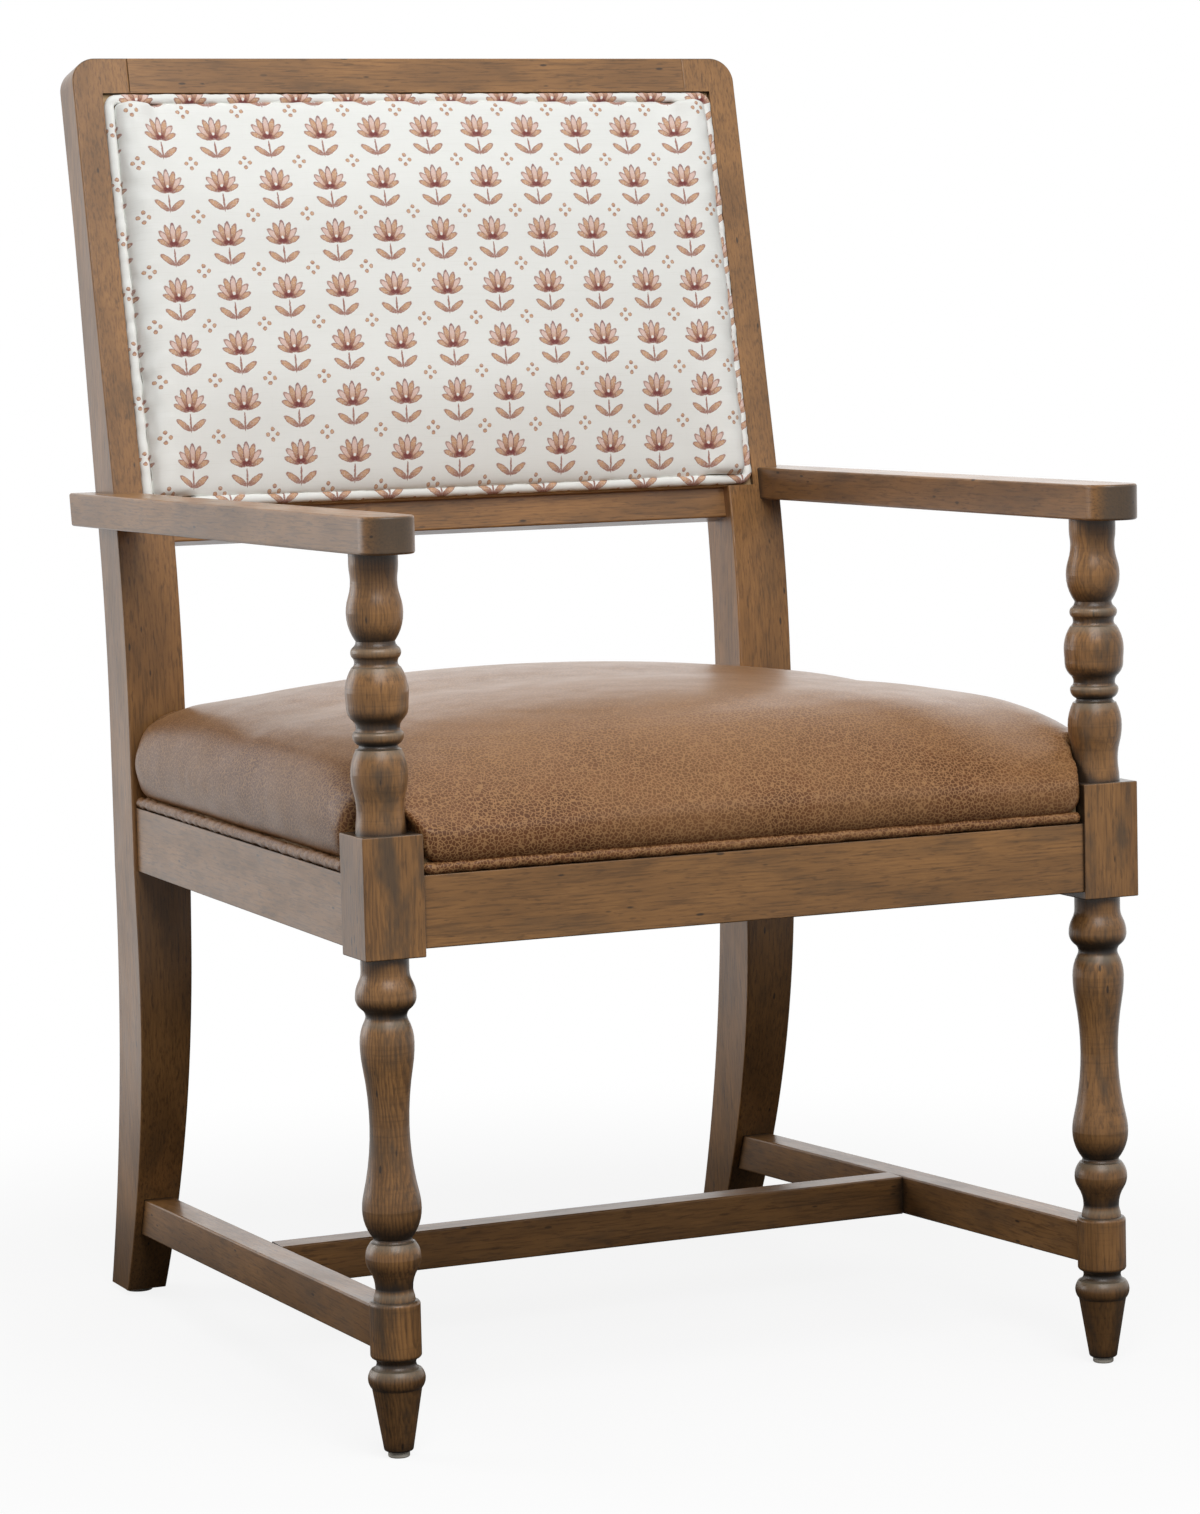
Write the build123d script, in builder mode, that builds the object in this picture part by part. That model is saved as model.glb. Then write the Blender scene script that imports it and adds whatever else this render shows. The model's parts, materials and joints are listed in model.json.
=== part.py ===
from build123d import *
import os
from math import cos, radians, sin, sqrt, tan

# An armchair with a stained wood frame, turned front legs that carry the arms, a tight leather
# seat and an upholstered back panel let into the frame. Millimetres, +Z up, the sitter faces -Y.

os.makedirs("parts", exist_ok=True)

# Stance
front_width = 606.0  # outer faces of the front leg blocks
rear_width = 580.0  # outer faces of the rear legs
seat_depth = 535.0  # front block face to the front face of the rear legs
glide_height = 4.5
rail_bottom_z = 354.5
rail_height = 50.5
arm_bottom_z = 625.0
arm_thickness = 26.0
back_top_z = 993.0

# Front legs
block_size = 44.5
block_below_rail = 5.5
block_above_rail = 28.5
post_tenon_radius = 10.0
post_tenon_length = 20.0
block_edge = 1.0
drum_bottom_z = 69.5
drum_height = 40.5
drum_radius = 17.9
drum_round = 3.0
foot_radius = 10.1
foot_round = 1.6
ring_bottom_z = 48.5
ring_height = 13.5
ring_radius = 20.0
taper_top_radius = 17.4
neck_radius = 13.8

# Rear legs
stile_width = 47.0
rear_foot_width = 32.5
leg_depth = 50.0
rear_foot_depth = 42.0
leg_sweep = 76.0
sweep_front_z = 300.0  # where the front face starts to sweep back
sweep_rear_z = 380.0
bend_z = 561.4  # where the back's rake would leave the upright
back_rake = 11.9
stile_top_depth = 35.0
rear_bend_z = 545.0
rear_bend_top_z = 850.0
bend_radius = 1000.0
stile_top_round = 20.0
edge_round = 1.5

# Seat rails
rail_thickness = 22.0
front_rail_setback = 2.5
side_rail_setback = 1.4
side_rail_rear_setback = 3.0
rear_rail_setback = 14.0
rail_edge = 1.0

# Arms
arm_width = 40.0
arm_overhang = 21.5
arm_front_round = 19.0
arm_proud = 22.0  # how far the rear end stands outside the rear leg
arm_edge = 2.0

# Stretchers
stretcher_thickness = 24.0
stretcher_height = 30.0
stretcher_front_z = 90.0
stretcher_rear_z = 70.0
cross_stretcher_y = 300.0  # front face of the cross stretcher, behind the front block face
stretcher_tenon_thickness = 12.0
stretcher_tenon_height = 20.0
stretcher_tenon_length = 14.0
stretcher_edge = 1.5

# Back frame and panel, heights measured up the rake from the bend
crest_height = 50.6
crest_exposed = 28.6
lower_rail_bottom = 53.0
lower_rail_height = 60.0
lower_rail_setback = 11.0
lower_rail_thickness = 24.0
panel_bottom = 77.8
panel_side_margin = 24.0  # stile left showing beside the panel
panel_recess = 14.0
back_board_thickness = 9.0
back_pad_margin = 10.8  # room for the welt round the pad
back_crown = 27.0
back_edge_rise = 0.45  # share of the crown that stands at the pad's lower and upper edge
back_edge_ease = 5  # the higher, the sooner the pad reaches its full crown
back_edge_draw = 7.0  # how far the pad's corners are drawn in
back_draw_reach = 28.0
back_bulge = 0.8
back_shoulder = 18.0
back_shoulder_in = 30.0
back_fabric = 1.0
back_welt_diameter = 8.0
back_welt_corner = 7.0
outside_board_thickness = 6.0
outside_board_inset = 2.0
outside_fabric = 1.2

# Seat
seat_board_thickness = 12.0
seat_board_inset = 9.0  # from the rails' outer faces, room for the welt
leg_clearance = 1.0
seat_welt_diameter = 8.5
seat_welt_proud = 0.8
seat_leather = 1.5
seat_side_inset = 2.0
seat_front_bulge = 6.5
seat_bulge = 9.0
seat_shoulder = 76.0
seat_shoulder_in = 50.0
seat_crown = 92.5
seat_front_rise = 0.28  # share of the crown that stands at the seat's front edge
seat_front_ease = 5.5  # the higher, the sooner the seat reaches its full crown
seat_rear_rise = 0.55
seat_rear_ease = 10
pad_wide_share = 0.4  # how far up its shoulder a pad is widest
dust_cover_thickness = 0.8

# Joinery and fixings
fit_gap = 0.2
soft_gap = 0.3
dowel_radius = 5.0
dowel_length = 44.0
dowel_spacing = 26.0
crest_dowel_shares = (0.25, 0.75)  # up the rail's end
lower_dowel_shares = (0.22, 0.78)
corner_block_leg = 62.0
corner_block_height = 36.0
corner_block_drop = 6.0  # block top below the rail top
bolt_radius = 3.0
bolt_length = 50.0
bolt_head_radius = 6.0
bolt_head_height = 4.0
screw_radius = 2.2
screw_head_radius = 4.2
screw_head_height = 2.6
back_screw_share = 0.6  # of the way from the middle to the stile
back_screw_bite = 0.7  # share of the back board that a screw enters
overrun = 2.0  # cutters are this many times as long as what they clear
arm_screw_length = 74.0
seat_screw_inset = 15.0
seat_screw_length = 50.0
plug_radius = 5.0
plug_depth = 8.0
front_glide_radius = 7.6
rear_glide_radius = 11.0
glide_round = 1.2
glide_nail_radius = 1.4
glide_nail_length = 14.0

# Places worked out from the sizes above
rake = radians(back_rake)
back_run = (back_top_z - bend_z) * tan(rake)
overall_depth = arm_overhang + seat_depth + max(
    leg_sweep + rear_foot_depth, back_run + stile_top_depth * cos(rake)
)
front_y = arm_overhang - overall_depth / 2
rear_y = front_y + seat_depth
rail_top_z = rail_bottom_z + rail_height
block_bottom_z = rail_bottom_z - block_below_rail
block_top_z = rail_top_z + block_above_rail
arm_top_z = arm_bottom_z + arm_thickness
arm_middle_z = arm_bottom_z + arm_thickness / 2
post_x = front_width / 2 - block_size / 2
post_y = front_y + block_size / 2
stile_outer_x = rear_width / 2
stile_inner_x = stile_outer_x - stile_width
stile_middle_x = stile_outer_x - stile_width / 2
leg_rear_y = rear_y + leg_depth
top_front_y = rear_y + back_run
top_rear_y = top_front_y + stile_top_depth * cos(rake)
top_rear_z = back_top_z - stile_top_depth * sin(rake)
rear_bend_top_y = top_rear_y - (top_rear_z - rear_bend_top_z) * tan(rake)
block_rear_y = front_y + block_size
front_rail_y = front_y + front_rail_setback
rear_rail_y = rear_y + rear_rail_setback
side_front_x = front_width / 2 - side_rail_setback
side_rear_x = stile_outer_x - side_rail_rear_setback
side_slope = (side_rear_x - side_front_x) / (rear_y - block_rear_y)
rail_middle_z = rail_bottom_z + rail_height / 2
crest_top = (back_top_z - bend_z) / cos(rake)
crest_bottom = crest_top - crest_height
panel_top = crest_top - crest_exposed
lower_rail_top = lower_rail_bottom + lower_rail_height
panel_half = stile_outer_x - panel_side_margin
seat_base_z = rail_top_z + seat_welt_diameter + soft_gap
corner_block_top_z = rail_top_z - corner_block_drop

# The back's own plane: X to the side, Y up the rake, Z out of its front
back_up = Vector(0, sin(rake), cos(rake))
back_out = Vector(0, -cos(rake), sin(rake))
back_plane = Plane(origin=(0, rear_y, bend_z), x_dir=(1, 0, 0), z_dir=back_out)


def side_x(y, inset=0.0):
    """X of the side rails' outer face at a depth, drawn in by an inset."""
    return side_front_x + (y - block_rear_y) * side_slope - inset


def back_point(x, up, out):
    """A point given on the back's own plane."""
    return Vector(x, rear_y, bend_z) + back_up * up + back_out * out


def rear_face_y(z):
    """Y of the rear legs' rear face between its two bends."""
    rise = (z - rear_bend_z) / (rear_bend_top_z - rear_bend_z)
    return leg_rear_y + (rear_bend_top_y - leg_rear_y) * rise


def leg_front_y(z):
    """Y of the rear legs' front face on the arc that sweeps back to the foot."""
    drop = sweep_front_z - glide_height
    radius = (drop**2 + leg_sweep**2) / (2 * leg_sweep)
    return rear_y + radius - sqrt(radius**2 - (sweep_front_z - z) ** 2)


def rods(axes, radius, length, mode=Mode.ADD):
    """Add or cut round rods, each given by its middle and its direction."""
    for middle, direction in axes:
        way = Vector(*direction).normalized()
        start = Vector(*middle) - way * (length / 2)
        with BuildSketch(Plane(origin=start, z_dir=way)) as section:
            Circle(radius)
        extrude(section.sketch, amount=length, mode=mode)


def screws(axes, radius, length, head_radius, head_height, mode=Mode.ADD):
    """Add or cut headed screws, each given by the seat of its head and its direction."""
    for seat, direction in axes:
        way = Vector(*direction).normalized()
        start = Vector(*seat)
        rods([(start + way * (length / 2), way)], radius, length, mode)
        rods([(start - way * (head_height / 2), way)], head_radius, head_height, mode)


def box(low, high, mode=Mode.ADD):
    """Add or cut an upright box between two corners."""
    middle = (Vector(*low) + Vector(*high)) * 0.5
    size = Vector(*high) - Vector(*low)
    with Locations(middle):
        Box(size.X, size.Y, size.Z, mode=mode)


def back_box(low, high, mode=Mode.ADD):
    """Add or cut a box whose corners are given on the back's own plane."""
    with BuildSketch(back_plane.offset(low[2])) as section:
        with Locations(((low[0] + high[0]) / 2, (low[1] + high[1]) / 2)):
            Rectangle(high[0] - low[0], high[1] - low[1])
    extrude(section.sketch, amount=high[2] - low[2], mode=mode)


def panel_recess_cut(mode):
    """Cut the rebate that the back panel drops into."""
    back_box(
        (-panel_half - fit_gap, panel_bottom - fit_gap, -panel_recess),
        (panel_half + fit_gap, panel_top + fit_gap, panel_recess),
        mode,
    )


def turned(stations):
    """Draw a turning's outline: height, radius, and how far along each S-curve its bend changes.

    A bend of 1 leaves a crease at the curve's upper end, and a bend of 0 one at its lower end.
    """
    for (z1, r1, _), (z2, r2, bend) in zip(stations, stations[1:]):
        middle = (r1 + (r2 - r1) * bend, z1 + (z2 - z1) * bend)
        if bend > 0:
            TangentArc((r1, z1), middle, tangent=(0, 1))
        if bend < 1:
            TangentArc((r2, z2), middle, tangent=(0, -1))


def crowned(sections):
    """Loft a crowned pad through sections: plane, half width, base, bulge, shoulder in and up, crown."""
    outlines = []
    for plane, half, base, bulge, shoulder_in, shoulder, crown in sections:
        low = (half, base)
        side = (half + bulge, base + shoulder * pad_wide_share)
        high = (half - shoulder_in, base + shoulder)
        with BuildSketch(plane) as outline:
            with BuildLine():
                Line((-low[0], low[1]), low)
                ThreePointArc(low, side, high)
                ThreePointArc(high, (0, base + crown), (-high[0], high[1]))
                ThreePointArc((-high[0], high[1]), (-side[0], side[1]), (-low[0], low[1]))
            make_face()
        outlines.append(outline.sketch)
    loft(outlines)


def eased(edge, ease, share):
    """A pad's rise, from the edge's share of it to the whole, a share of the way from edge to middle."""
    return 1 - (1 - edge) * (1 - share) ** ease


def finish(builder, name):
    """Label a finished piece and write it."""
    builder.part.label = name
    export_step(builder.part, f"parts/{name}.step")


def finish_pair(builder, name):
    """Write a right-hand piece and its mirror image."""
    finish(builder, f"{name}_right")
    with BuildPart() as twin:
        mirror(builder.part, about=Plane.YZ)
    finish(twin, f"{name}_left")


def both_sides(axes):
    """Repeat point and direction pairs on the other side of the middle plane."""
    twins = []
    for middle, direction in axes:
        point, way = Vector(*middle), Vector(*direction)
        twins.append((Vector(-point.X, point.Y, point.Z), Vector(-way.X, way.Y, way.Z)))
    return list(axes) + twins


# Dowels: two in each rail joint, half in the rail and half in the leg
drill = dowel_radius + fit_gap / 2
screw_hole = screw_radius + fit_gap
dowel_heights = [rail_middle_z - dowel_spacing / 2, rail_middle_z + dowel_spacing / 2]
front_rail_middle_y = front_rail_y + rail_thickness / 2
rear_rail_middle_y = rear_rail_y + rail_thickness / 2
side_way = Vector(side_slope, 1, 0).normalized()
side_front_middle_x = side_x(block_rear_y, rail_thickness / 2)
side_rear_middle_x = side_x(rear_y, rail_thickness / 2)
front_dowels = [((post_x - block_size / 2, front_rail_middle_y, z), (1, 0, 0)) for z in dowel_heights]
rear_dowels = [((stile_inner_x, rear_rail_middle_y, z), (1, 0, 0)) for z in dowel_heights]
side_front_dowels = [((side_front_middle_x, block_rear_y, z), side_way) for z in dowel_heights]
side_rear_dowels = [((side_rear_middle_x, rear_y, z), side_way) for z in dowel_heights]
crest_middle_out = -(panel_recess + stile_top_depth) / 2
lower_middle_out = -lower_rail_setback - lower_rail_thickness / 2
crest_dowels = [
    (back_point(stile_inner_x, crest_bottom + crest_height * share, crest_middle_out), (1, 0, 0))
    for share in crest_dowel_shares
]
lower_dowels = [
    (back_point(stile_inner_x, lower_rail_bottom + lower_rail_height * share, lower_middle_out), (1, 0, 0))
    for share in lower_dowel_shares
]

# Screws that hold the back panel and the arms, driven from behind and plugged
back_screw_x = stile_inner_x * back_screw_share
back_screw_out = -stile_top_depth + plug_depth
lower_screw_out = -lower_rail_setback - lower_rail_thickness + plug_depth
back_screw_reach = -back_screw_out - panel_recess + back_board_thickness * back_screw_bite
lower_screw_reach = -lower_screw_out - panel_recess + back_board_thickness * back_screw_bite
crest_screw_up = (crest_bottom + panel_top) / 2
lower_screw_up = (panel_bottom + lower_rail_top) / 2
crest_screws = [(back_point(back_screw_x, crest_screw_up, back_screw_out), back_out)]
lower_screws = [(back_point(back_screw_x, lower_screw_up, lower_screw_out), back_out)]
arm_rear_middle_x = stile_outer_x + arm_proud - arm_width / 2
arm_inner_rear_x = stile_outer_x + arm_proud - arm_width
arm_screw_x = (arm_inner_rear_x + stile_outer_x) / 2
arm_screw_y = rear_face_y(arm_middle_z) - plug_depth
arm_screw = [((arm_screw_x, arm_screw_y, arm_middle_z), (0, -1, 0))]

# Stretcher line from the drum's axis to the rear leg's front face
stretcher_start = Vector(post_x, post_y, stretcher_front_z)
stretcher_end = Vector(stile_middle_x, leg_front_y(stretcher_rear_z), stretcher_rear_z)
stretcher_reach = (stretcher_end - stretcher_start).length
stretcher_way = (stretcher_end - stretcher_start).normalized()
stretcher_side = stretcher_way.cross(Vector(0, 0, 1)).normalized()


def stretcher_bar(width, height, start, end, mode=Mode.ADD):
    """Add or cut a bar along the stretcher line, from start to end millimetres out from the drum's axis."""
    origin = stretcher_start + stretcher_way * start
    with BuildSketch(Plane(origin=origin, x_dir=stretcher_side, z_dir=stretcher_way)) as section:
        Rectangle(width, height)
    extrude(section.sketch, amount=end - start, mode=mode)


tenon_hole_thickness = stretcher_tenon_thickness + fit_gap
tenon_hole_height = stretcher_tenon_height + fit_gap
tenon_end = stretcher_reach + stretcher_tenon_length
tenon_start = drum_radius - stretcher_tenon_length


def stretcher_middle(y):
    """The stretcher line's point at a depth."""
    return stretcher_start + stretcher_way * ((y - post_y) / stretcher_way.Y)


# Corner blocks in plan: along the leg, then the side rail, the long face and the front or rear rail
front_inner_y = front_rail_y + rail_thickness
block_inner_x = post_x - block_size / 2
front_block_y = block_rear_y + corner_block_leg
rear_block_y = rear_y - corner_block_leg
front_block_plan = [
    (block_inner_x - fit_gap, front_inner_y),
    (block_inner_x - fit_gap, block_rear_y + fit_gap),
    (side_x(block_rear_y + fit_gap, rail_thickness), block_rear_y + fit_gap),
    (side_x(front_block_y, rail_thickness), front_block_y),
    (block_inner_x - corner_block_leg, front_inner_y),
]
rear_block_plan = [
    (stile_inner_x - fit_gap, rear_rail_y),
    (stile_inner_x - fit_gap, rear_y - fit_gap),
    (side_x(rear_y - fit_gap, rail_thickness), rear_y - fit_gap),
    (side_x(rear_block_y, rail_thickness), rear_block_y),
    (stile_inner_x - corner_block_leg, rear_rail_y),
]
corner_block_z = corner_block_top_z - corner_block_height
bolt_z = corner_block_top_z - corner_block_height / 2


def block_bolt(plan, toward_rear):
    """Bolt through the middle of a corner block's long face, square to it, into the leg."""
    one, other = Vector(*plan[3]), Vector(*plan[4])
    middle = (one + other) * 0.5
    along = (one - other).normalized()
    way = Vector(-along.Y, along.X) if toward_rear else Vector(along.Y, -along.X)
    return [(Vector(middle.X, middle.Y, bolt_z), way)]


def block_screw(plan):
    """Screw up through a corner block, near the side rail, into the seat board."""
    third, fourth = Vector(*plan[2]), Vector(*plan[3])
    place = (third + fourth) * 0.5
    return [(Vector(place.X - seat_screw_inset, place.Y, corner_block_z), Vector(0, 0, 1))]


front_bolts = block_bolt(front_block_plan, False)
rear_bolts = block_bolt(rear_block_plan, True)
seat_screw_axes = both_sides(block_screw(front_block_plan) + block_screw(rear_block_plan))
front_glide_nail = Vector(post_x, post_y, glide_height + glide_nail_length / 2)
rear_glide_nail = Vector(
    stile_middle_x, rear_y + leg_sweep + rear_foot_depth / 2, glide_height + glide_nail_length / 2
)

# Rear leg before its joints are cut: the side outline, then the taper seen from the front
with BuildPart() as rear_leg_blank:
    with BuildSketch(Plane.YZ.offset(stile_inner_x)):
        with BuildLine():
            foot_front = (rear_y + leg_sweep, glide_height)
            foot_rear = (rear_y + leg_sweep + rear_foot_depth, glide_height)
            TangentArc((rear_y, sweep_front_z), foot_front, tangent=(0, -1))
            FilletPolyline(
                (rear_y, sweep_front_z),
                (rear_y, bend_z),
                (top_front_y, back_top_z),
                radius=bend_radius,
            )
            Line((top_front_y, back_top_z), (top_rear_y, top_rear_z))
            FilletPolyline(
                (top_rear_y, top_rear_z),
                (rear_bend_top_y, rear_bend_top_z),
                (leg_rear_y, rear_bend_z),
                (leg_rear_y, sweep_rear_z),
                radius=bend_radius,
            )
            TangentArc((leg_rear_y, sweep_rear_z), foot_rear, tangent=(0, -1))
            Line(foot_front, foot_rear)
        make_face()
    extrude(amount=stile_width)
    with BuildSketch(Plane.XZ):
        with BuildLine():
            Polyline(
                (stile_middle_x - rear_foot_width / 2, glide_height),
                (stile_middle_x + rear_foot_width / 2, glide_height),
                (stile_outer_x, rail_bottom_z),
                (stile_outer_x, back_top_z),
                (stile_inner_x, back_top_z),
                (stile_inner_x, rail_bottom_z),
                close=True,
            )
        make_face()
    extrude(amount=overall_depth, both=True, mode=Mode.INTERSECT)
    top_edges = rear_leg_blank.faces().sort_by(Axis.Z)[-1].edges()
    fillet(top_edges.sort_by(Axis.X)[-1], radius=stile_top_round)

with BuildPart() as rear_leg:
    add(rear_leg_blank.part)
    fillet(rear_leg.edges().filter_by(lambda edge: edge.length > leg_depth), radius=edge_round)
    panel_recess_cut(Mode.SUBTRACT)
    rods(rear_dowels + side_rear_dowels, drill, dowel_length, Mode.SUBTRACT)
    rods(crest_dowels + lower_dowels, drill, dowel_length, Mode.SUBTRACT)
    stretcher_bar(tenon_hole_thickness, tenon_hole_height, stretcher_reach / 2, tenon_end, Mode.SUBTRACT)
    screws(arm_screw, screw_hole, arm_screw_length, plug_radius, plug_depth * overrun, Mode.SUBTRACT)
    screws(rear_bolts, bolt_radius, bolt_length, bolt_head_radius, bolt_head_height, Mode.SUBTRACT)
    rods([(rear_glide_nail, (0, 0, 1))], glide_nail_radius, glide_nail_length, Mode.SUBTRACT)
finish_pair(rear_leg, "rear_leg")

# Front leg: one turning from the foot to the arm, with a square block left at the seat rails.
# Each member: share of the way up, radius, and how far along the curve below it the bend changes.
drum_top_z = drum_bottom_z + drum_height
leg_members = [
    (0.0, 14.6, 0.5),
    (0.036, 13.1, 0.5),
    (0.126, 19.4, 0.6),
    (0.170, 15.6, 1.0),
    (0.182, 13.4, 0.0),
    (0.268, 20.6, 0.0),
    (0.510, 13.8, 0.18),
    (0.751, 18.9, 0.7),
    (0.815, 15.2, 1.0),
    (0.828, 14.4, 0.0),
    (0.884, 21.2, 0.35),
    (0.958, 16.8, 0.6),
]
post_members = [
    (0.0, 17.7, 0.5),
    (0.084, 16.5, 0.5),
    (0.213, 19.8, 0.5),
    (0.301, 15.8, 1.0),
    (0.316, 13.3, 0.0),
    (0.351, 17.7, 0.0),
    (0.367, 15.9, 1.0),
    (0.379, 15.2, 0.0),
    (0.403, 16.8, 1.0),
    (0.454, 21.4, 0.0),
    (0.506, 21.9, 0.5),
    (0.593, 16.9, 1.0),
    (0.611, 14.9, 0.0),
    (0.626, 15.6, 1.0),
    (0.646, 17.4, 0.0),
    (0.666, 15.4, 1.0),
    (0.687, 13.5, 0.0),
    (0.788, 19.6, 0.0),
    (0.901, 16.1, 0.5),
    (0.961, 17.0, 0.5),
]
turning_plane = Plane(origin=(post_x, post_y, 0), x_dir=(1, 0, 0), z_dir=(0, -1, 0))
turning_axis = Axis((post_x, post_y, 0), (0, 0, 1))
taper_top = (taper_top_radius, ring_bottom_z)
ring_top = (taper_top_radius, ring_bottom_z + ring_height)
ring_middle = (ring_radius, ring_bottom_z + ring_height / 2)
neck_middle = (neck_radius, (ring_top[1] + drum_bottom_z) / 2)
drum_low = (drum_radius - drum_round, drum_bottom_z)
drum_high = (drum_radius - drum_round, drum_top_z)
post_tenon = [((post_x, post_y, arm_bottom_z + post_tenon_length / 2), (0, 0, 1))]

with BuildPart() as leg_block:
    box(
        (block_inner_x, front_y, block_bottom_z),
        (block_inner_x + block_size, block_rear_y, block_top_z),
    )
    fillet(leg_block.edges(), radius=block_edge)

with BuildPart() as front_leg:
    with BuildSketch(turning_plane):
        with BuildLine():
            Polyline((0, drum_top_z), (0, glide_height), (foot_radius, glide_height), taper_top)
            ThreePointArc(taper_top, ring_middle, ring_top)
            ThreePointArc(ring_top, neck_middle, drum_low)
            TangentArc((drum_radius, drum_bottom_z + drum_round), drum_low, tangent=(0, -1))
            Line((drum_radius, drum_bottom_z + drum_round), (drum_radius, drum_top_z - drum_round))
            TangentArc((drum_radius, drum_top_z - drum_round), drum_high, tangent=(0, 1))
            Line(drum_high, (0, drum_top_z))
        make_face()
    revolve(axis=turning_axis)
    fillet(front_leg.edges().group_by(Axis.Z)[0], radius=foot_round)
    for members, low_z, high_z, into in (
        (leg_members, drum_top_z, block_bottom_z, block_edge),
        (post_members, block_top_z, arm_bottom_z, 0),
    ):
        stations = [(low_z + (high_z - low_z) * share, radius, bend) for share, radius, bend in members]
        first_z, first_radius, _ = stations[0]
        last_z, last_radius, _ = stations[-1]
        with BuildSketch(turning_plane):
            with BuildLine():
                Polyline(
                    (last_radius, last_z),
                    (last_radius, high_z + into),
                    (0, high_z + into),
                    (0, first_z),
                    (first_radius, first_z),
                )
                turned(stations)
            make_face()
        revolve(axis=turning_axis)
    add(leg_block.part)
    rods(post_tenon, post_tenon_radius, post_tenon_length)
    rods(front_dowels + side_front_dowels, drill, dowel_length, Mode.SUBTRACT)
    stretcher_bar(tenon_hole_thickness, tenon_hole_height, tenon_start, drum_radius * overrun, Mode.SUBTRACT)
    screws(front_bolts, bolt_radius, bolt_length, bolt_head_radius, bolt_head_height, Mode.SUBTRACT)
    rods([(front_glide_nail, (0, 0, 1))], glide_nail_radius, glide_nail_length, Mode.SUBTRACT)
finish_pair(front_leg, "front_leg")

# Seat rails, doweled between the legs
with BuildPart() as front_seat_rail:
    box((-block_inner_x, front_rail_y, rail_bottom_z), (block_inner_x, front_inner_y, rail_top_z))
    fillet(front_seat_rail.edges().filter_by(Axis.X), radius=rail_edge)
    rods(both_sides(front_dowels), drill, dowel_length, Mode.SUBTRACT)
finish(front_seat_rail, "front_seat_rail")

with BuildPart() as rear_seat_rail:
    box(
        (-stile_inner_x, rear_rail_y, rail_bottom_z),
        (stile_inner_x, rear_rail_y + rail_thickness, rail_top_z),
    )
    fillet(rear_seat_rail.edges().filter_by(Axis.X), radius=rail_edge)
    rods(both_sides(rear_dowels), drill, dowel_length, Mode.SUBTRACT)
finish(rear_seat_rail, "rear_seat_rail")

with BuildPart() as side_seat_rail:
    with BuildSketch(Plane.XY.offset(rail_bottom_z)):
        with BuildLine():
            Polyline(
                (side_x(block_rear_y), block_rear_y),
                (side_x(rear_y), rear_y),
                (side_x(rear_y, rail_thickness), rear_y),
                (side_x(block_rear_y, rail_thickness), block_rear_y),
                close=True,
            )
        make_face()
    extrude(amount=rail_height)
    long_edges = side_seat_rail.edges().filter_by(lambda edge: edge.length > seat_depth / 2)
    fillet(long_edges, radius=rail_edge)
    rods(side_front_dowels + side_rear_dowels, drill, dowel_length, Mode.SUBTRACT)
finish_pair(side_seat_rail, "side_seat_rail")

# Corner blocks, bolted to the legs from inside the rails
for plan, bolt, place in (
    (front_block_plan, front_bolts, "front"),
    (rear_block_plan, rear_bolts, "rear"),
):
    with BuildPart() as corner_block:
        with BuildSketch(Plane.XY.offset(corner_block_z)):
            with BuildLine():
                Polyline(*plan, close=True)
            make_face()
        extrude(amount=corner_block_height)
        rods(bolt, bolt_radius + fit_gap, bolt_length * overrun, Mode.SUBTRACT)
        rods(seat_screw_axes, screw_hole, seat_screw_length * overrun, Mode.SUBTRACT)
    finish_pair(corner_block, f"corner_block_{place}")

with BuildPart() as corner_bolts:
    bolts = both_sides(front_bolts + rear_bolts)
    screws(bolts, bolt_radius, bolt_length, bolt_head_radius, bolt_head_height)
finish(corner_bolts, "corner_bolts")

# Arms: rest on the posts, butt the rear legs' front faces and lap their outer sides
arm_front_y = front_y - arm_overhang
arm_back_y = rear_face_y(arm_top_z)
with BuildPart() as arm:
    with BuildSketch(Plane.XY.offset(arm_bottom_z)):
        with BuildLine():
            Polyline(
                (post_x - arm_width / 2, arm_front_y),
                (post_x + arm_width / 2, arm_front_y),
                (arm_rear_middle_x + arm_width / 2, arm_back_y),
                (arm_rear_middle_x - arm_width / 2, arm_back_y),
                close=True,
            )
        make_face()
        fillet(vertices().group_by(Axis.Y)[0], radius=arm_front_round)
    extrude(amount=arm_thickness)
    with BuildSketch(Plane.YZ):
        with BuildLine():
            Polyline(
                (arm_front_y, arm_bottom_z),
                (rear_face_y(arm_bottom_z), arm_bottom_z),
                (rear_face_y(arm_top_z), arm_top_z),
                (arm_front_y, arm_top_z),
                close=True,
            )
        make_face()
    extrude(amount=overall_depth, mode=Mode.INTERSECT)
    fillet(arm.edges(), radius=arm_edge)
    add(rear_leg_blank.part, mode=Mode.SUBTRACT)
    rods(post_tenon, post_tenon_radius + fit_gap / 2, post_tenon_length, Mode.SUBTRACT)
    rods(arm_screw, screw_hole, arm_screw_length * overrun, Mode.SUBTRACT)
finish_pair(arm, "arm")

with BuildPart() as arm_screws:
    screws(both_sides(arm_screw), screw_radius, arm_screw_length, screw_head_radius, screw_head_height)
finish(arm_screws, "arm_screws")

plug_length = plug_depth - screw_head_height
with BuildPart() as arm_screw_plugs:
    plug_middle = Vector(arm_screw_x, arm_screw_y + screw_head_height + plug_length, arm_middle_z)
    rods([(plug_middle, (0, 1, 0))], plug_radius, plug_length * overrun)
    add(rear_leg_blank.part, mode=Mode.INTERSECT)
    mirror(arm_screw_plugs.part, about=Plane.YZ)
finish(arm_screw_plugs, "arm_screw_plugs")

# Stretchers: the side ones coped to the drums and cut to the rear legs, the cross one between them
cross_middle = stretcher_middle(front_y + cross_stretcher_y + stretcher_thickness / 2)


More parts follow.
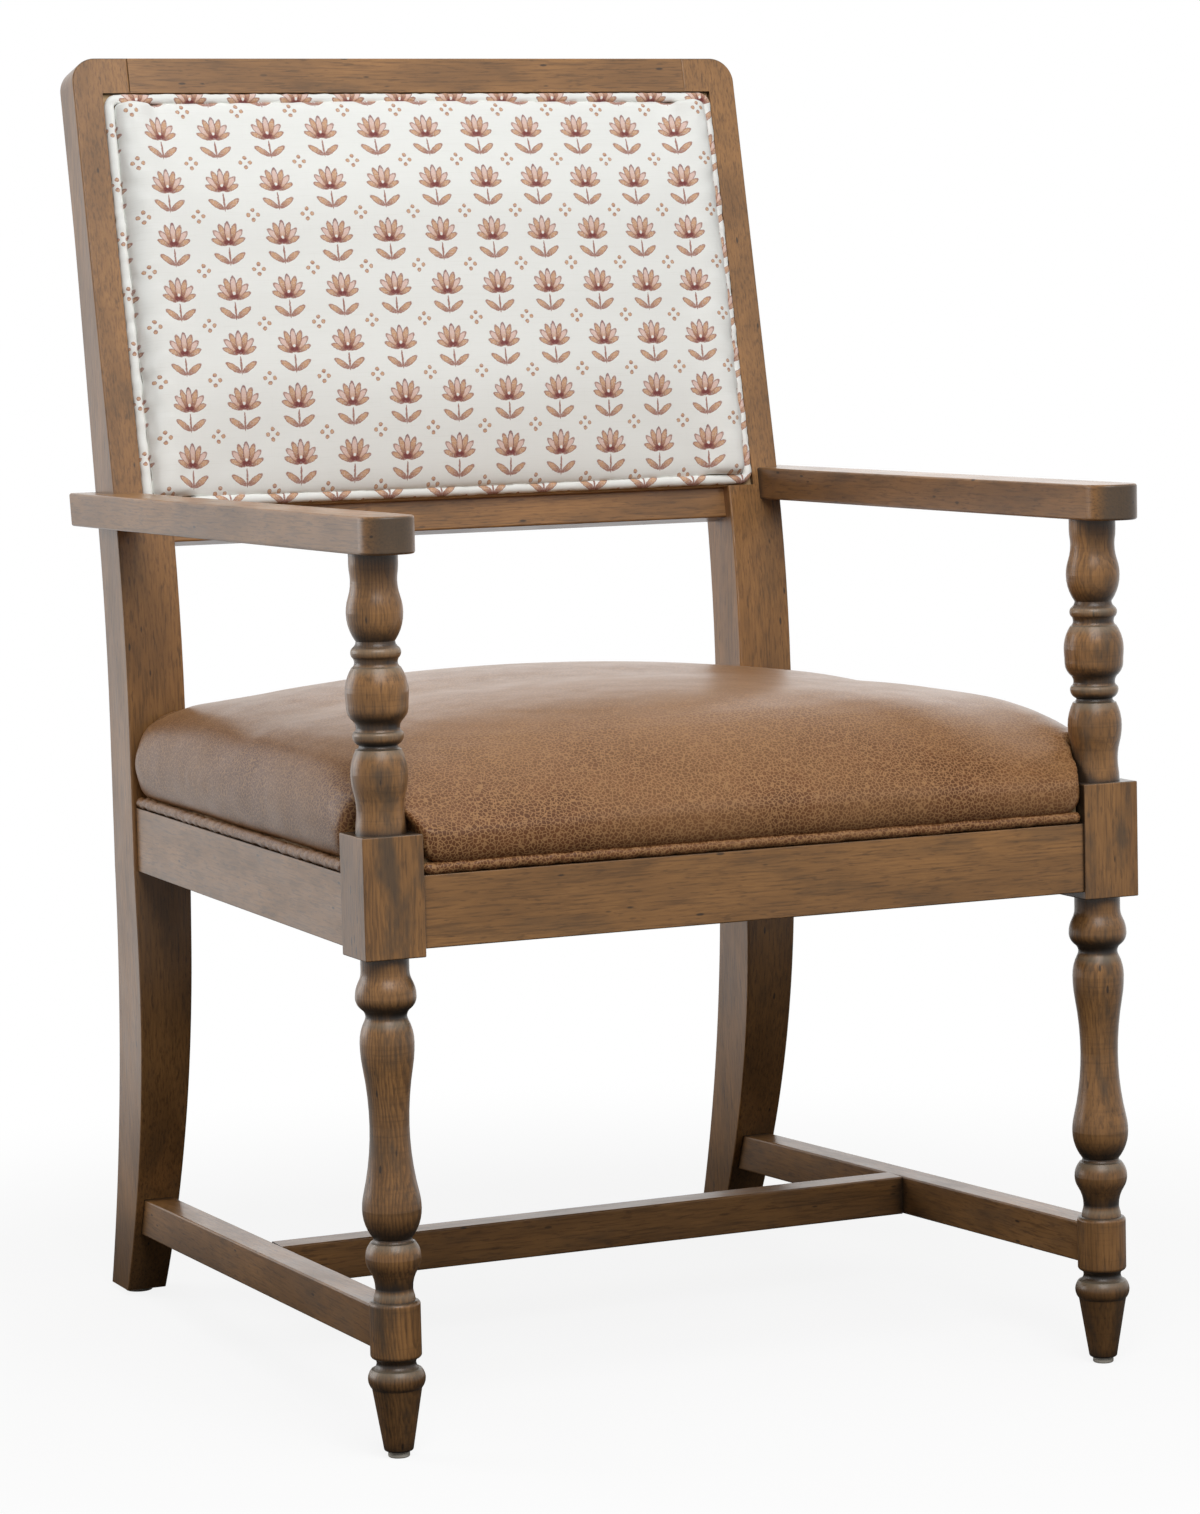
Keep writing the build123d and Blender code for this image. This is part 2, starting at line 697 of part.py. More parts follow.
def cross_tenon(gap, mode):
    """Add or cut the cross stretcher's right-hand tenon, opened by a gap."""
    half_thickness = (stretcher_tenon_thickness + gap) / 2
    half_height = (stretcher_tenon_height + gap) / 2
    reach = stretcher_tenon_length - stretcher_thickness / 2
    box(
        (cross_middle.X - stretcher_thickness, cross_middle.Y - half_thickness, cross_middle.Z - half_height),
        (cross_middle.X + reach, cross_middle.Y + half_thickness, cross_middle.Z + half_height),
        mode,
    )


with BuildPart() as side_stretcher:
    stretcher_bar(stretcher_thickness, stretcher_height, 0, stretcher_reach + rear_foot_depth / 2)
    long_edges = side_stretcher.edges().filter_by(lambda edge: edge.length > stretcher_reach / 2)
    fillet(long_edges, radius=stretcher_edge)
    rods([(stretcher_start, (0, 0, 1))], drum_radius, drum_height * overrun, Mode.SUBTRACT)
    add(rear_leg_blank.part, mode=Mode.SUBTRACT)
    stretcher_bar(stretcher_tenon_thickness, stretcher_tenon_height, tenon_start, tenon_end)
    cross_tenon(fit_gap, Mode.SUBTRACT)
finish_pair(side_stretcher, "side_stretcher")

with BuildPart() as cross_stretcher:
    box(
        (0, cross_middle.Y - stretcher_thickness / 2, cross_middle.Z - stretcher_height / 2),
        (cross_middle.X, cross_middle.Y + stretcher_thickness / 2, cross_middle.Z + stretcher_height / 2),
    )
    fillet(cross_stretcher.edges().filter_by(Axis.X), radius=stretcher_edge)
    stretcher_bar(stretcher_thickness, stretcher_height * overrun, 0, stretcher_reach, Mode.SUBTRACT)
    cross_tenon(0, Mode.ADD)
    mirror(cross_stretcher.part, about=Plane.YZ)
finish(cross_stretcher, "cross_stretcher")

# Back frame: crest and lower rail between the rear legs, both rebated for the panel
with BuildPart() as crest_rail:
    back_box((-stile_inner_x, crest_bottom, -stile_top_depth), (stile_inner_x, crest_top, 0))
    fillet(crest_rail.edges().filter_by(Axis.X), radius=edge_round)
    panel_recess_cut(Mode.SUBTRACT)
    rods(both_sides(crest_dowels), drill, dowel_length, Mode.SUBTRACT)
    screws(both_sides(crest_screws), screw_hole, stile_top_depth, plug_radius, plug_depth, Mode.SUBTRACT)
finish(crest_rail, "crest_rail")

with BuildPart() as lower_back_rail:
    back_box(
        (-stile_inner_x, lower_rail_bottom, -lower_rail_setback - lower_rail_thickness),
        (stile_inner_x, lower_rail_top, -lower_rail_setback),
    )
    fillet(lower_back_rail.edges().filter_by(Axis.X), radius=edge_round)
    panel_recess_cut(Mode.SUBTRACT)
    rods(both_sides(lower_dowels), drill, dowel_length, Mode.SUBTRACT)
    screws(both_sides(lower_screws), screw_hole, lower_rail_thickness, plug_radius, plug_depth, Mode.SUBTRACT)
finish(lower_back_rail, "lower_back_rail")

# Dowels, one group for each kind of joint
for axes, name in (
    (front_dowels, "front_rail_dowels"),
    (rear_dowels, "rear_rail_dowels"),
    (side_front_dowels + side_rear_dowels, "side_rail_dowels"),
    (crest_dowels, "crest_rail_dowels"),
    (lower_dowels, "lower_back_rail_dowels"),
):
    with BuildPart() as dowels:
        rods(both_sides(axes), dowel_radius, dowel_length)
    finish(dowels, name)

# Seat board, screwed up from the corner blocks, with a dust cover under it
board_front_y = front_rail_y + seat_board_inset
board_rear_y = rear_rail_y + rail_thickness - seat_board_inset


def plan_sheet(front, rear, inset, low_z, thickness, clearance):
    """A flat sheet between the rails, notched clear of the four legs."""
    with BuildSketch(Plane.XY.offset(low_z)) as section:
        with BuildLine():
            Polyline(
                (side_x(front, inset), front),
                (side_x(rear, inset), rear),
                (-side_x(rear, inset), rear),
                (-side_x(front, inset), front),
                close=True,
            )
        make_face()
    extrude(section.sketch, amount=thickness)
    leg_notches(clearance, low_z - thickness, low_z + thickness * 2)


def leg_notches(clearance, low_z, high_z):
    """Cut the four corners away round the legs, leaving a clearance."""
    for side in (1, -1):
        for inner_x, low_y, high_y in (
            (block_inner_x - clearance, front_y - block_size, block_rear_y + clearance),
            (stile_inner_x - clearance, rear_y - clearance, leg_rear_y + block_size),
        ):
            xs = sorted((side * inner_x, side * front_width))
            box((xs[0], low_y, low_z), (xs[1], high_y, high_z), Mode.SUBTRACT)


with BuildPart() as seat_board:
    plan_sheet(board_front_y, board_rear_y, seat_board_inset, rail_top_z, seat_board_thickness, leg_clearance)
    rods(seat_screw_axes, screw_radius, seat_screw_length * overrun, Mode.SUBTRACT)
finish(seat_board, "seat_board")

with BuildPart() as seat_screws:
    screws(seat_screw_axes, screw_radius, seat_screw_length, screw_head_radius, screw_head_height)
finish(seat_screws, "seat_screws")

with BuildPart() as dust_cover:
    plan_sheet(
        front_inner_y + leg_clearance,
        rear_rail_y - leg_clearance,
        rail_thickness + leg_clearance,
        rail_top_z - dust_cover_thickness,
        dust_cover_thickness,
        leg_clearance,
    )
    rods(seat_screw_axes, screw_hole, seat_screw_length * overrun, Mode.SUBTRACT)
finish(dust_cover, "dust_cover")

# Seat pad: places of its sections, as shares of the way from an edge to the middle
seat_stations = [0.0, 0.035, 0.09, 0.2, 0.4, 0.7]
seat_front_y = front_rail_y - seat_front_bulge
seat_rear_y = rear_rail_y + rail_thickness


def seat_sections(inset):
    """The seat pad's sections from front to rear, drawn in all round by an inset."""
    front, rear = seat_front_y + inset, seat_rear_y - inset
    reach = (rear - front) / 2
    rows = [(front + reach * s, eased(seat_front_rise, seat_front_ease, s)) for s in seat_stations]
    rows += [(front + reach, 1.0)]
    rows += [(rear - reach * s, eased(seat_rear_rise, seat_rear_ease, s)) for s in reversed(seat_stations)]
    sections = []
    for y, rise in rows:
        plane = Plane(origin=(0, y, 0), x_dir=(1, 0, 0), z_dir=(0, -1, 0))
        half = side_x(y, seat_side_inset + inset)
        shoulder = seat_shoulder * rise - inset * 2
        crown = seat_crown * rise - inset * 2
        sections.append(
            (plane, half, seat_base_z + inset, seat_bulge * rise, seat_shoulder_in, shoulder, crown)
        )
    return sections


with BuildPart() as seat_foam:
    crowned(seat_sections(seat_leather))
    leg_notches(leg_clearance + seat_leather, rail_bottom_z, arm_bottom_z)
    add(seat_board.part, mode=Mode.SUBTRACT)
finish(seat_foam, "seat_foam")

with BuildPart() as seat_cover:
    crowned(seat_sections(0))
    leg_notches(leg_clearance, rail_bottom_z, arm_bottom_z)
    add(seat_board.part, mode=Mode.SUBTRACT)
    add(seat_foam.part, mode=Mode.SUBTRACT)
finish(seat_cover, "seat_cover")

# Welts under the seat, on the rails' top edges
welt_radius = seat_welt_diameter / 2
welt_z = rail_top_z + welt_radius
welt_inset = welt_radius - seat_welt_proud
with BuildPart() as seat_welt_front:
    welt_length = (block_inner_x - soft_gap) * 2
    rods([((0, front_rail_y + welt_inset, welt_z), (1, 0, 0))], welt_radius, welt_length)
finish(seat_welt_front, "seat_welt_front")

with BuildPart() as seat_welt_rear:
    welt_length = (stile_inner_x - soft_gap) * 2
    welt_y = rear_rail_y + rail_thickness - welt_inset
    rods([((0, welt_y, welt_z), (1, 0, 0))], welt_radius, welt_length)
finish(seat_welt_rear, "seat_welt_rear")

with BuildPart() as seat_welt_side:
    end_slant = welt_radius * abs(side_slope)
    welt_length = (rear_y - block_rear_y) / side_way.Y - (soft_gap + end_slant) * 2
    welt_y = (block_rear_y + rear_y) / 2
    rods([((side_x(welt_y, welt_inset), welt_y, welt_z), side_way)], welt_radius, welt_length)
finish_pair(seat_welt_side, "seat_welt_side")

# Back panel: board in the rebate, pad and cover on it, welt round the pad
back_base = back_board_thickness - panel_recess
back_screw_axes = both_sides(crest_screws + lower_screws)
with BuildPart() as back_board:
    back_box((-panel_half, panel_bottom, -panel_recess), (panel_half, panel_top, back_base))
    for axes, reach in ((crest_screws, back_screw_reach), (lower_screws, lower_screw_reach)):
        screws(both_sides(axes), screw_radius, reach, screw_head_radius, screw_head_height, Mode.SUBTRACT)
finish(back_board, "back_board")

with BuildPart() as back_panel_screws:
    for axes, reach in ((crest_screws, back_screw_reach), (lower_screws, lower_screw_reach)):
        screws(both_sides(axes), screw_radius, reach, screw_head_radius, screw_head_height)
finish(back_panel_screws, "back_panel_screws")

with BuildPart() as back_screw_plugs:
    plug_axes = [
        (seat - back_out * (screw_head_height + plug_length / 2), way) for seat, way in back_screw_axes
    ]
    rods(plug_axes, plug_radius, plug_length)
finish(back_screw_plugs, "back_screw_plugs")

# Back pad: places of its sections, as shares of the way from an edge to the middle
back_stations = [0.0, 0.035, 0.085, 0.18, 0.35, 0.6]


def back_sections(inset):
    """The back pad's sections from the lower edge to the upper, drawn in all round by an inset.

    The rise eases from the edge's share to the whole, and the sides draw in toward the corners.
    """
    low, high = panel_bottom + back_pad_margin + inset, panel_top - back_pad_margin - inset
    reach = (high - low) / 2
    ups = [low + reach * share for share in back_stations]
    ups += [(low + high) / 2]
    ups += [high - reach * share for share in reversed(back_stations)]
    sections = []
    for up in ups:
        distance = min(up - low, high - up)
        rise = eased(back_edge_rise, back_edge_ease, distance / reach)
        draw = back_edge_draw * max(0, 1 - distance / back_draw_reach) ** 3
        plane = Plane(origin=back_point(0, up, 0), x_dir=(1, 0, 0), z_dir=-back_up)
        half = panel_half - back_pad_margin - draw - inset
        shoulder = back_shoulder * rise - inset
        crown = back_crown * rise - inset
        sections.append((plane, half, back_base, back_bulge * rise, back_shoulder_in, shoulder, crown))
    return sections


with BuildPart() as back_foam:
    crowned(back_sections(back_fabric))
finish(back_foam, "back_foam")

with BuildPart() as back_cover:
    crowned(back_sections(0))
    add(back_foam.part, mode=Mode.SUBTRACT)
finish(back_cover, "back_cover")

with BuildPart() as back_welt:
    ring_half = panel_half - fit_gap - back_welt_diameter / 2
    ring_low = panel_bottom + fit_gap + back_welt_diameter / 2
    ring_high = panel_top - fit_gap - back_welt_diameter / 2
    with BuildLine(back_plane.offset(back_base + back_welt_diameter / 2)) as ring:
        FilletPolyline(
            (ring_half, ring_low),
            (ring_half, ring_high),
            (-ring_half, ring_high),
            (-ring_half, ring_low),
            close=True,
            radius=back_welt_corner,
        )
    with BuildSketch(Plane(origin=ring.wire() @ 0, z_dir=ring.wire() % 0)):
        Circle(back_welt_diameter / 2)
    sweep()
finish(back_welt, "back_welt")

# Outside back: a covered board that closes the opening from behind, between the two rails
outside_low = lower_rail_top + soft_gap
outside_high = crest_bottom - soft_gap
outside_half = stile_inner_x - soft_gap
outside_out = outside_board_inset - stile_top_depth
with BuildPart() as outside_back_board:
    back_box(
        (-outside_half, outside_low, outside_out + outside_fabric),
        (outside_half, outside_high, outside_out + outside_fabric + outside_board_thickness),
    )
finish(outside_back_board, "outside_back_board")

with BuildPart() as outside_back_cover:
    back_box(
        (-outside_half, outside_low, outside_out),
        (outside_half, outside_high, outside_out + outside_fabric),
    )
finish(outside_back_cover, "outside_back_cover")

# Glides nailed under the feet
for nail, radius, place in (
    (front_glide_nail, front_glide_radius, "front"),
    (rear_glide_nail, rear_glide_radius, "rear"),
):
    with BuildPart() as glide:
        rods([((nail.X, nail.Y, glide_height / 2), (0, 0, 1))], radius, glide_height)
        fillet(glide.edges().sort_by(Axis.Z)[0], radius=glide_round)
        rods([(nail, (0, 0, 1))], glide_nail_radius, glide_nail_length)
    finish_pair(glide, f"glide_{place}")
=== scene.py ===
"""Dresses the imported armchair: stained wood frame, leather seat, printed back, studio and camera."""

import json
import logging
import math
from dataclasses import dataclass, field
from enum import Enum
from typing import Sequence, Union

import bpy
import numpy as np
from mathutils import Matrix, Vector


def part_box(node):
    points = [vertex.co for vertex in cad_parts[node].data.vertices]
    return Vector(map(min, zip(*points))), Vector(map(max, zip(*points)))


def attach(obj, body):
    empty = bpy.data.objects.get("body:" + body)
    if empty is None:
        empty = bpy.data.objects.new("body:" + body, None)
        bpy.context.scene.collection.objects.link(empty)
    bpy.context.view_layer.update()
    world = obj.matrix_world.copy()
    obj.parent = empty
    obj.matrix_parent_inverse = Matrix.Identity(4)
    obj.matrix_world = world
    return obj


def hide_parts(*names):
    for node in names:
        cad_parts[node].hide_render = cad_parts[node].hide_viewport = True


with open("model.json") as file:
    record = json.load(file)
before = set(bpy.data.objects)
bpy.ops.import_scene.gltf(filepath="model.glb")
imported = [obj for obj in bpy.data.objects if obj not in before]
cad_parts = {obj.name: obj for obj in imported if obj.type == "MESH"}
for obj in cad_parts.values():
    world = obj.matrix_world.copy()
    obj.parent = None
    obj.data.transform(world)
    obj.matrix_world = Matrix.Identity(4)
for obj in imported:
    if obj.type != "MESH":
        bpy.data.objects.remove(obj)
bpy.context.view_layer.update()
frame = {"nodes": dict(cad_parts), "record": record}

logging.basicConfig(level=logging.INFO, format="%(levelname)s %(message)s")
LOG = logging.getLogger("armchair")

MM = 0.001
PER_METRE = 1000.0  # millimetres
TINY = 1e-9
BACK_RAKE = math.radians(11.9)
Socket = bpy.types.NodeSocket
Value = Union[float, Sequence[float], Socket]
Colour = tuple[float, float, float]


def srgb(red: int, green: int, blue: int) -> Colour:
    """A colour read off a screen, from 0 to 255, as linear light.

    Args:
        red, green, blue: the display values.
    Returns:
        The three linear values.
    """
    shares = np.array([red, green, blue]) / 255.0
    linear = np.where(shares <= 0.04045, shares / 12.92, ((shares + 0.055) / 1.055) ** 2.4)
    return tuple(float(v) for v in linear)


def raked(rake: float) -> tuple[np.ndarray, np.ndarray]:
    """The ways up and out of a panel that leans back by an angle."""
    up = np.array([0.0, math.sin(rake), math.cos(rake)])
    out = np.array([0.0, -math.cos(rake), math.sin(rake)])
    return up, out


BACK_UP, BACK_OUT = raked(BACK_RAKE)


def ramp(values: np.ndarray, start: float, end: float) -> np.ndarray:
    """How far values have come from a start to an end, from 0 to 1."""
    return np.clip((values - start) / (end - start), 0.0, 1.0)


def smooth(share: np.ndarray) -> np.ndarray:
    """A share that sets off and arrives gently."""
    return share * share * (3 - 2 * share)


class Graph:
    """A material's node tree, with short calls for the nodes used here."""

    def __init__(self, name: str) -> None:
        """Start an empty material of that name."""
        self.material = bpy.data.materials.new(name)
        self.material.use_nodes = True
        self.tree = self.material.node_tree
        self.tree.nodes.clear()
        self.output = self.tree.nodes.new("ShaderNodeOutputMaterial")
        self.coordinates = self.tree.nodes.new("ShaderNodeTexCoord").outputs["Object"]

    def put(self, socket: Socket, value: Value) -> None:
        """Link a socket to another, or set its value."""
        if isinstance(value, Socket):
            self.tree.links.new(value, socket)
        elif socket.type == "RGBA" and len(value) == 3:
            socket.default_value = (*value, 1.0)
        else:
            socket.default_value = value

    def node(self, kind: str, inputs: dict[Union[int, str], Value], **settings: object) -> bpy.types.Node:
        """Add a node.

        Args:
            kind: the node's type after the words ShaderNode.
            inputs: socket name or number to a value or another socket.
            settings: the node's own properties.
        Returns:
            The node.
        """
        made = self.tree.nodes.new("ShaderNode" + kind)
        for name, setting in settings.items():
            setattr(made, name, setting)
        for name, value in inputs.items():
            self.put(made.inputs[name], value)
        return made

    def height(self) -> Socket:
        """Height above the floor."""
        return self.node("SeparateXYZ", {0: self.coordinates}).outputs[2]

    def facing(self) -> Socket:
        """The way the surface faces."""
        return self.node("NewGeometry", {}).outputs["Normal"]

    def math(self, operation: str, *values: Value) -> Socket:
        """One arithmetic step on up to three values."""
        return self.node("Math", dict(enumerate(values)), operation=operation).outputs[0]

    def times(self, one: Value, other: Value) -> Socket:
        """The product of two values."""
        return self.math("MULTIPLY", one, other)

    def vector(self, operation: str, *values: Value) -> Socket:
        """One arithmetic step on vectors."""
        made = self.node("VectorMath", dict(enumerate(values)), operation=operation)
        return made.outputs["Value" if operation in ("LENGTH", "DOT_PRODUCT", "DISTANCE") else "Vector"]

    def scaled(self, vector: Socket, scale: Sequence[float], shift: Sequence[float] = (0, 0, 0)) -> Socket:
        """A vector scaled along each axis, then shifted."""
        return self.vector("MULTIPLY_ADD", vector, tuple(scale), tuple(shift))

    def noise(self, vector: Socket, scale: float, detail: float = 2.0, roughness: float = 0.5) -> Socket:
        """Smooth noise from 0 to 1."""
        inputs = {"Vector": vector, "Scale": scale, "Detail": detail, "Roughness": roughness}
        return self.node("TexNoise", inputs).outputs["Fac"]

    def band(
        self, value: Socket, low: float, high: float, to_low: float = 0.0, to_high: float = 1.0
    ) -> Socket:
        """A smooth step between two values."""
        inputs = dict(enumerate((value, low, high, to_low, to_high)))
        return self.node("MapRange", inputs, interpolation_type="SMOOTHSTEP").outputs[0]

    def mix(self, share: Value, one: Value, other: Value) -> Socket:
        """Blend one colour into another by a share."""
        return self.node("Mix", {0: share, 6: one, 7: other}, data_type="RGBA").outputs[2]

    def bump(self, height: Socket, distance: float, strength: float) -> Socket:
        """A normal from a height, with the height's full step in metres."""
        inputs = {"Strength": strength, "Distance": distance, "Height": height}
        return self.node("Bump", inputs).outputs[0]

    def surface(self, **inputs: Value) -> bpy.types.Material:
        """Close the tree with a surface shader.

        Args:
            inputs: socket names, with underscores for spaces.
        Returns:
            The material.
        """
        named = {name.replace("_", " "): value for name, value in inputs.items()}
        shader = self.node("BsdfPrincipled", named)
        self.tree.links.new(shader.outputs[0], self.output.inputs["Surface"])
        return self.material


class Grain(Enum):
    """The way a member's grain runs."""

    ACROSS = 0
    BACKWARD = 1
    UPRIGHT = 2

    def drawn_out(self, share: float) -> tuple[float, float, float]:
        """A scale for each axis that draws a pattern out along the grain."""
        return tuple(share if axis == self.value else 1.0 for axis in range(3))


@dataclass(frozen=True)
class WoodLook:
    """How strongly growth rings, grey mottling and dark edge lines show on a member, each from 0 to 1.

    Grooves are the heights of a turning's grooves, each with the reach of the glaze and painted shade above
    it, under the bead. Flush is
    True where a joint shows no dark line.
    """

    rings: float
    mottling: float
    edge_lines: float
    grooves: tuple[tuple[float, float], ...] = ()
    flush: bool = False


@dataclass(frozen=True)
class StainedWood:
    """Brown stained wood: growth rings cut by the surface, dark end grain, a grey glaze in hollows with
    painted shade there, and a painted sheen on the turnings' beads.
    """

    light: Colour = srgb(165, 119, 71)
    middle: Colour = srgb(136, 97, 57)
    dark: Colour = srgb(66, 46, 29)
    grey: Colour = srgb(70, 60, 49)
    # Pale: the painted grey sheen on the upper side of each bead.
    pale: Colour = srgb(134, 122, 104)
    # The glaze colour, also used as painted shade in hollows and under the turnings' beads.
    glaze_and_shade: Colour = srgb(30, 25, 21)
    pool: float = 3.0 * MM
    block: tuple[float, float] = (349.0 * MM, 433.5 * MM)
    # Rim: where the painted sheen starts and where it is full, below each groove.
    rim: tuple[float, float] = (10.0 * MM, 4.0 * MM)
    ring: float = 2.4 * MM
    pith: float = 64.0 * MM
    ring_bend: float = 16.0 * MM
    # Heights between which the legs turn darker toward the floor.
    foot_darkening: tuple[float, float] = (85.0 * MM, 50.0 * MM)
    # Reach of the ambient occlusion that paints glaze and shade into hollows and near other parts.
    nook: float = 16.0 * MM
    edge: float = 1.8 * MM
    relief: float = 0.08 * MM

    def build(
        self, name: str, grain: Grain, middle: Vector, seed: float, look: WoodLook
    ) -> bpy.types.Material:
        """Make the finish for one member.

        Args:
            name: the material's name.
            grain: which way the grain runs.
            middle: the middle of the member.
            seed: how far the pattern is moved, so that no two members are alike.
            look: how strongly rings, mottling and edge lines show on it.
        Returns:
            The material.
        """
        graph = Graph(name)
        local = graph.vector("SUBTRACT", graph.coordinates, tuple(middle))
        shift = (seed * 0.37, seed * 0.53, seed * 0.71)
        long = graph.scaled(local, grain.drawn_out(0.05), shift)
        short = graph.scaled(local, grain.drawn_out(0.30), shift)
        cloud = graph.noise(short, 24.0, 3.0, 0.6)
        fibre = graph.noise(long, 640.0, 4.0, 0.62)
        rings = self.rings(graph, grain, local, short, seed)
        smear = graph.noise(short, 46.0, 4.0, 0.62)
        colour = graph.mix(graph.band(cloud, 0.34, 0.66), self.middle, self.light)
        colour = graph.mix(graph.times(rings, look.rings), colour, self.dark)
        colour = graph.mix(graph.band(fibre, 0.44, 0.70, 0.0, 0.50), colour, self.dark)
        flecks = graph.noise(graph.scaled(local, grain.drawn_out(0.15), shift), 480.0, 2.0, 0.6)
        colour = graph.mix(graph.band(flecks, 0.56, 0.70, 0.0, 0.42), colour, self.dark)
        colour = graph.mix(graph.band(smear, 0.47, 0.70, 0.0, look.mottling), colour, self.grey)
        colour = graph.mix(self.cut_across(graph, grain), colour, self.grey)
        colour = graph.mix(self.foot(graph), colour, self.glaze_and_shade)
        colour = graph.mix(self.marks(graph, short), colour, self.glaze_and_shade)
        # Glaze, with painted shade, in hollows and near other parts.
        colour = graph.mix(self.hollow_glaze_and_shade(graph, smear, look), colour, self.glaze_and_shade)
        # Turnings: glaze in lathe lines and grooves, painted shade under the beads, and a painted sheen on
        # their upper sides.
        if look.grooves:
            colour = graph.mix(self.turned_lines(graph, local), colour, self.glaze_and_shade)
            colour = self.groove_glaze_shade_and_sheen(graph, smear, look.grooves, colour)
        relief = graph.math("ADD", graph.times(rings, 0.5), fibre)
        return graph.surface(
            Base_Color=colour,
            Roughness=graph.band(smear, 0.3, 0.7, 0.32, 0.44),
            Normal=graph.bump(relief, self.relief, 0.5),
            Specular_IOR_Level=0.25,
            Coat_Weight=0.62,
            Coat_IOR=1.3,
            Coat_Roughness=0.25,
        )

    def rings(self, graph: Graph, grain: Grain, local: Socket, short: Socket, seed: float) -> Socket:
        """Late wood's share, by the bent distance from a pith line beside the member, along its grain."""
        across = [axis for axis in range(3) if axis != grain.value]
        aside = [0.0, 0.0, 0.0]
        aside[across[0]] = self.pith * math.cos(seed * 2.4)
        aside[across[1]] = self.pith * math.sin(seed * 2.4)
        away = graph.vector("LENGTH", graph.scaled(local, grain.drawn_out(0.02), aside))
        bent = graph.math("MULTIPLY_ADD", graph.noise(short, 28.0, 4.0, 0.6), self.ring_bend, away)
        year = graph.math("FRACT", graph.math("DIVIDE", bent, self.ring))
        late = graph.times(graph.band(year, 0.20, 0.85), graph.band(year, 1.0, 0.93))
        return graph.times(late, graph.band(graph.noise(short, 19.0, 2.0), 0.38, 0.62, 0.25, 1.0))

    def cut_across(self, graph: Graph, grain: Grain) -> Socket:
        """The share of grey stain that end grain takes up, by how squarely the surface cuts the fibres."""
        along = [0.0, 0.0, 0.0]
        along[grain.value] = 1.0
        square = graph.math("ABSOLUTE", graph.vector("DOT_PRODUCT", graph.facing(), tuple(along)))
        return graph.band(square, 0.35, 0.95, 0.0, 0.85)

    def foot(self, graph: Graph) -> Socket:
        """The share of the glaze colour on the legs' lowest part, growing toward the floor, by height above
        the floor.
        """
        return graph.band(graph.height(), *self.foot_darkening, 0.0, 0.42)

    def marks(self, graph: Graph, short: Socket) -> Socket:
        """Short dark dashes along the grain, in a few cells, as a share of glaze."""
        cells = graph.node("TexVoronoi", {"Vector": short, "Scale": 190.0})
        chance = graph.node("SeparateColor", {0: cells.outputs["Color"]}).outputs[0]
        dash = graph.band(cells.outputs["Distance"], 0.24, 0.12)
        return graph.times(dash, graph.band(chance, 0.91, 0.94, 0.0, 0.8))

    def turned_lines(self, graph: Graph, local: Socket) -> Socket:
        """The share of glaze in the fine lines that run round a turning, away from its square block."""
        lines = graph.noise(graph.scaled(local, (0.05, 0.05, 1.0)), 380.0, 3.0, 0.6)
        height = graph.height()
        low, high = self.block
        over = graph.math("MAXIMUM", graph.band(height, low, low - MM), graph.band(height, high, high + MM))
        return graph.times(over, graph.band(lines, 0.50, 0.74, 0.0, 0.24))

    def groove_glaze_shade_and_sheen(
        self, graph: Graph, wiped: Socket, grooves: Sequence[tuple[float, float]], colour: Socket
    ) -> Socket:
        """Dark glaze in a turning's grooves and under its beads, and a paler rubbed rim below each groove.

        Args:
            graph: the tree to add to.
            wiped: noise that breaks the glaze up.
            grooves: heights of the grooves, each with the reach of the glaze and painted shade above it.
            colour: what lies under the glaze.
        Returns:
            The glazed colour.
        """
        height = graph.height()
        broken = graph.band(wiped, 0.3, 0.62, 0.62, 0.96)
        start, full = self.rim
        # Painted highlight: a pale grey sheen on the upper side of each bead, just below its groove.
        for level, _ in grooves:
            rising = graph.band(height, level - start, level - full)
            falling = graph.band(height, level - MM, level - full, 0.0, 0.5)
            colour = graph.mix(graph.times(rising, falling), colour, self.pale)
        # Glaze in each groove, carried up under the bead above it as painted shade.
        for level, reach in grooves:
            rising = graph.band(height, level - self.pool, level)
            falling = graph.band(height, level + reach, level + MM)
            share = graph.times(graph.times(rising, falling), broken)
            colour = graph.mix(share, colour, self.glaze_and_shade)
        return colour

    def hollow_glaze_and_shade(self, graph: Graph, wiped: Socket, look: WoodLook) -> Socket:
        """The glaze's share where it was not wiped off: in hollows and near other parts by ambient occlusion,
        which is glaze held there and also painted shade, and in breaks along edges.
        """
        # Painted shade: ambient occlusion darkens wherever nearby surfaces hem this one in, on top of the
        # glaze held in hollows and joints.
        nook = graph.node("AmbientOcclusion", {"Distance": self.nook}, samples=10, only_local=look.flush)
        hollow = graph.math("ADD", nook.outputs["AO"], graph.times(wiped, 0.2))
        deep = graph.band(hollow, 1.06, 0.60, 0.0, 0.92)
        bevelled = graph.node("Bevel", {"Radius": self.edge}, samples=6).outputs[0]
        square = graph.vector("DOT_PRODUCT", bevelled, graph.facing())
        edge = graph.band(square, 0.995, 0.90, 0.0, look.edge_lines)
        return graph.math("MAXIMUM", deep, graph.times(edge, graph.band(wiped, 0.36, 0.60)))


